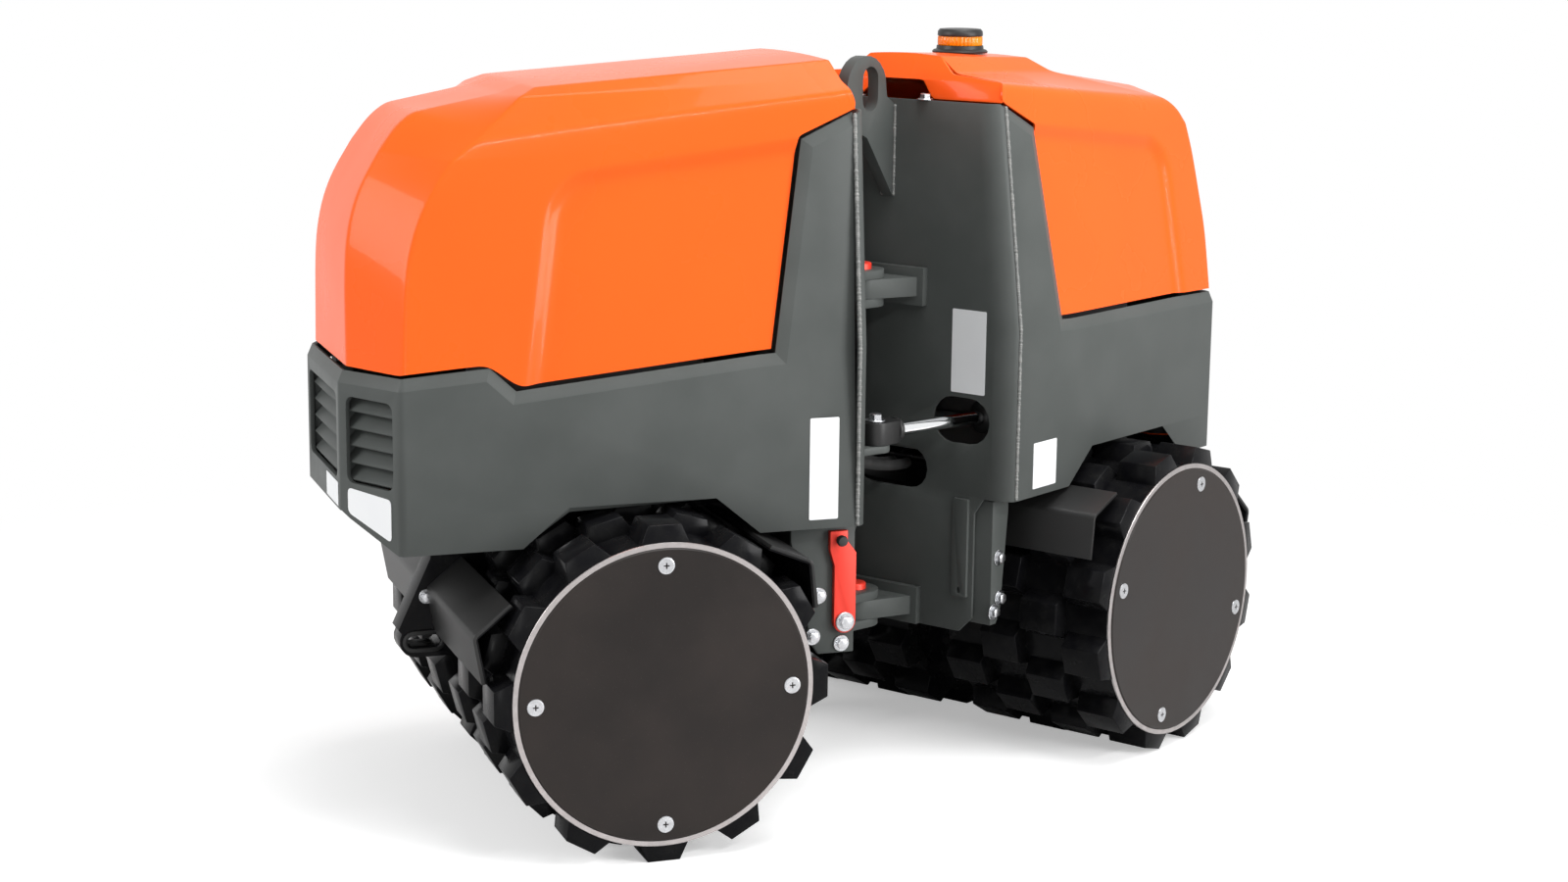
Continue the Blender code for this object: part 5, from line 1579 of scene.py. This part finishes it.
@dataclass
class Beacon:
    """The warning beacon on the rear hood: stepped base, fluted amber lens and black cap."""

    flutes: int = 36
    lens_radius: float = 0.0425
    # As a share of the radius
    flute_depth: float = 0.02

    def turned_piece(self, name: str, profile: list[Point2], centre: Vector, finish: Finish, node: str) -> None:
        """Turn one of the beacon's pieces and dress it."""
        thing = spawn(name, turned(profile, 72), Matrix.Translation(centre))
        dressed(thing, finish, "rear_cover", node, angle=35.0)

    def lens(self, low: float, high: float, centre: Vector) -> None:
        """Build the lens with its upright flutes."""
        inner, outer = self.lens_radius, self.lens_radius + 0.001
        profile = [(0, low), (inner, low), (outer, low + 0.002), (outer, high - 0.002), (inner, high), (0, high)]
        thing = spawn("beacon_amber", turned(profile, self.flutes * 4))
        for vertex in thing.data.vertices:
            flat = vertex.co.xy
            if flat.length > self.lens_radius - 0.001:
                turn = atan2(flat.y, flat.x) * self.flutes
                vertex.co.xy = flat * (1 + self.flute_depth * cos(turn) - self.flute_depth)
        thing.data.transform(Matrix.Translation(centre))
        dressed(thing, AMBER_LENS, "rear_cover", "beacon_lens", angle=60.0)

    def build(self) -> None:
        """Build and dress the beacon."""
        low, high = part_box("beacon_base")
        centre = Vector(((low.x + high.x) / 2, (low.y + high.y) / 2, low.z))
        base = [(0, 0), (0.053, 0), (0.054, 0.003), (0.051, 0.006), (0.046, 0.0075), (0.045, 0.014), (0, 0.014)]
        self.turned_piece("beacon_foot", base, centre, GLOSS_BLACK, "beacon_base")
        self.lens(0.0145, 0.0318, centre)
        cap = [(0, 0.0325), (0.0435, 0.0325), (0.044, 0.034), (0.0435, 0.041), (0.040, 0.0455), (0.036, 0.046),
               (0.028, 0.0452), (0, 0.0445)]
        self.turned_piece("beacon_top", cap, centre, GLOSS_BLACK, "beacon_cap")


@dataclass
class BlankPlates:
    """The machine's white plates, all blank, and the pale reflectors on the front chamfers."""

    front: HalfFrame
    rear: HalfFrame
    thickness: float = 0.0008
    lift: float = 0.0003
    plate_round: float = 0.003
    reflector_round: float = 0.010
    # The reflector's corners, as the share of the chamfer's way out and the height
    reflector_corners: tuple[Point2, ...] = ((0.16, 0.640), (0.86, 0.646), (0.86, 0.602), (0.16, 0.566))

    def panel(self, name: str, half: HalfFrame, corners: list[Point3], normal: Point3, round_by: float) -> None:
        """Lay a thin plate with round corners on four points.

        Args:
            name: The plate's name.
            half: The half that it is on.
            corners: Its corners in that half's axes, in order.
            normal: Which way it faces there.
            round_by: Radius of its corners.
        """
        points, outline = [Vector(c) for c in corners], []
        for k, here in enumerate(points):
            before, after = points[k - 1] - here, points[(k + 1) % 4] - here
            start, stop = here + before.normalized() * round_by, here + after.normalized() * round_by
            for j in range(5):
                t = j / 4
                outline.append(start * (1 - t) ** 2 + here * 2 * t * (1 - t) + stop * t * t)
        bm = bmesh.new()
        face = bm.faces.new([bm.verts.new(p + Vector(normal) * self.lift) for p in outline])
        face.normal_update()
        if face.normal.dot(Vector(normal)) < 0:
            face.normal_flip()
        thing = spawn(name, bm, half.axes)
        walled(thing, self.thickness, 1.0)
        dressed(thing, WHITE_PLATE, half.frame_body)

    def build(self) -> None:
        """Lay all the plates."""
        side, wall, face = HalfFrame.SIDE_HALF, HalfFrame.HINGE_WALL, self.front.face
        for name, half, (xa, xb), (ya, yb), (high, low), normal in (
                ("side_plate_front", self.front, (0.203, 0.148), (side, side), (0.747, 0.562), (0, 1, 0)),
                ("hinge_wall_plate", self.rear, (wall, wall), (-0.156, -0.232), (0.901, 0.743), (-1, 0, 0)),
                ("side_plate_rear", self.rear, (0.165, 0.245), (-side, -side), (0.648, 0.560), (0, -1, 0)),
                ("face_plate_front", self.front, (face, face), (0.138, 0.030), (0.649, 0.607), (1, 0, 0))):
            self.panel(name, half, [(xa, ya, high), (xb, yb, high), (xb, yb, low), (xa, ya, low)], normal,
                       self.plate_round)
        for half, word in ((self.front, "front"), (self.rear, "rear")):
            for turn in Side:
                self.reflector(half, turn, f"{word}_reflector_{turn.word}")

    def reflector(self, half: HalfFrame, side: Side, name: str) -> None:
        """Lay the pale reflector under a chamfer's window."""
        inner = Vector((half.side_end, side.value * half.SIDE_HALF, 0))
        outer = Vector((half.face, side.value * half.FACE_HALF, 0))
        spots_on = []
        for share, height in self.reflector_corners:
            point = inner.lerp(outer, share)
            spots_on.append((point.x, point.y, height))
        along = (outer - inner).normalized()
        self.panel(name, half, spots_on, (abs(along.y), side.value * along.x, 0), self.reflector_round)


@dataclass(frozen=True)
class Lamp:
    """A soft rectangular lamp that the camera doesn't see.

    Attributes:
        name: Its name.
        place: Where it hangs.
        aim: What it points at.
        size: Its width and height.
        power: Its power in watts.
    """

    name: str
    place: Point3
    aim: Point3
    size: Point2
    power: float

    def hang(self) -> None:
        """Add the lamp to the scene."""
        data = bpy.data.lights.new(self.name, "AREA")
        data.shape = "RECTANGLE"
        data.size, data.size_y = self.size
        data.energy = self.power
        lamp = bpy.data.objects.new(self.name, data)
        lamp.location = self.place
        lamp.rotation_euler = (Vector(self.aim) - Vector(self.place)).to_track_quat("-Z", "Y").to_euler()
        lamp.visible_camera = False
        bpy.context.scene.collection.objects.link(lamp)


MIDDLE = (0.0, 0.0, 0.6)
LAMPS = (Lamp("lamp_top", (-0.5, 1.2, 4.6), MIDDLE, (3.0, 2.4), 140.0),
         Lamp("lamp_left", (4.8, 0.3, 2.5), MIDDLE, (2.0, 2.2), 130.0),
         Lamp("lamp_right", (-3.6, 4.2, 1.7), MIDDLE, (2.0, 2.6), 215.0),
         Lamp("strip_upright", (1.7, 4.4, 0.8), (0.9, 0.45, 0.8), (0.07, 1.6), 12.0),
         Lamp("strip_shoulder", (-0.9, 3.4, 3.0), (0.3, 0.3, 1.2), (3.0, 0.12), 55.0))


@dataclass
class Stage:
    """The pale floor, the soft lamps and the camera at the photograph's place."""

    camera_place: Point3 = (1.8113, 4.9549, 1.6495)
    azimuth: float = radians(-19.74)
    elevation: float = radians(11.17)
    roll: float = radians(0.69)
    lens: float = 63.02
    sensor: float = 36.0
    floor_half: float = 40.0
    floor_glow: float = 0.40
    sky: float = 0.24
    floor_fade: Point2 = (1.1, 2.8)

    def camera(self) -> None:
        """Put the camera where the photograph was taken."""
        flat = cos(self.elevation)
        ahead = Vector((sin(self.azimuth) * flat, -cos(self.azimuth) * flat, -sin(self.elevation)))
        right = ahead.cross(Vector((0, 0, 1))).normalized()
        above = right.cross(ahead)
        across = right * cos(self.roll) + above * sin(self.roll)
        upward = above * cos(self.roll) - right * sin(self.roll)
        data = bpy.data.cameras.new("camera")
        data.lens = self.lens
        data.sensor_width = self.sensor
        seen_from = bpy.data.objects.new("camera", data)
        turn = Matrix((across, upward, -ahead)).transposed().to_4x4()
        seen_from.matrix_world = Matrix.Translation(self.camera_place) @ turn
        bpy.context.scene.collection.objects.link(seen_from)
        bpy.context.scene.camera = seen_from

    def floor(self) -> None:
        """Lay the pale floor, which shows shadows and fades into the backdrop."""
        bm = bmesh.new()
        bmesh.ops.create_grid(bm, x_segments=1, y_segments=1, size=self.floor_half)
        thing = spawn("floor", bm)
        made = bpy.data.materials.new("floor_white")
        made.use_nodes = True
        tree = made.node_tree
        tree.nodes.remove(tree.nodes["Principled BSDF"])
        seen = add_node(tree, "ShaderNodeLightPath").outputs
        # The floor throws less light back on the machine than it shows, as a small studio floor does
        tone = add_node(tree, "ShaderNodeMix", {"Factor": seen["Is Diffuse Ray"], "A": (0.92, 0.92, 0.92, 1.0),
                                                "B": (0.30, 0.30, 0.30, 1.0)}, data_type="RGBA")
        matt = add_node(tree, "ShaderNodeBsdfDiffuse", {"Color": tone.outputs["Result"]})
        glow = add_node(tree, "ShaderNodeEmission", {
            "Strength": calculate(tree, "MULTIPLY", seen["Is Camera Ray"], self.floor_glow)})
        both = add_node(tree, "ShaderNodeAddShader")
        where = add_node(tree, "ShaderNodeTexCoord").outputs["Object"]
        reach = add_node(tree, "ShaderNodeVectorMath", {"Vector": where}, operation="LENGTH")
        near, far = self.floor_fade
        fade = add_node(tree, "ShaderNodeMapRange", {"Value": reach.outputs["Value"], "From Min": near,
                                                     "From Max": far})
        backdrop = add_node(tree, "ShaderNodeEmission")
        mixed = add_node(tree, "ShaderNodeMixShader", {"Fac": fade.outputs["Result"]})
        for node, shaders in ((both, (matt.outputs["BSDF"], glow.outputs["Emission"])),
                              (mixed, (both.outputs["Shader"], backdrop.outputs["Emission"]))):
            for socket, shader in zip(node.inputs[-2:], shaders):
                tree.links.new(shader, socket)
        set_inputs(tree, tree.nodes["Material Output"], {"Surface": mixed.outputs["Shader"]})
        thing.data.materials.append(made)

    def world(self) -> None:
        """Light from all round, with a white backdrop for what the camera, gloss and glass see."""
        world = bpy.data.worlds.new("studio")
        bpy.context.scene.world = world
        world.use_nodes = True
        tree = world.node_tree
        seen = add_node(tree, "ShaderNodeLightPath").outputs
        plain = calculate(tree, "MAXIMUM", seen["Is Camera Ray"], seen["Is Glossy Ray"])
        plain = calculate(tree, "MAXIMUM", plain, seen["Is Transmission Ray"])
        set_inputs(tree, tree.nodes["Background"], {
            "Color": (1.0, 1.0, 1.0, 1.0),
            "Strength": calculate(tree, "MULTIPLY_ADD", plain, 1.0 - self.sky, self.sky)})

    def build(self) -> None:
        """Set up the stage."""
        bpy.context.scene.view_settings.view_transform = "Standard"
        self.camera()
        self.floor()
        self.world()
        for lamp in LAMPS:
            lamp.hang()


def main() -> None:
    """Dress the whole machine."""
    logging.basicConfig(level=logging.INFO, format="%(name)s: %(message)s")
    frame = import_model()
    front, rear = half_frames(frame["joints"])
    for half, shape in ((front, FRONT_HOOD), (rear, REAR_HOOD)):
        Hood(half, shape).build()
        ChassisShell(half).build()
        Drum(half).build()
        DrumFrame(half).build()
        HingeStructure(half).build()
    SteeringHinge(rear).build()
    SteeringCylinder(front, rear).build()
    Hoses(front, rear).build()
    LockBar(front).build()
    Beacon().build()
    BlankPlates(front, rear).build()
    for node, half in (("engine_block", front), ("tank_block", rear)):
        trimmed(node + "_casting", node, 0.008, CAST_BLOCK, half.frame_body)
    Stage().build()


if __name__ == "__main__":
    main()
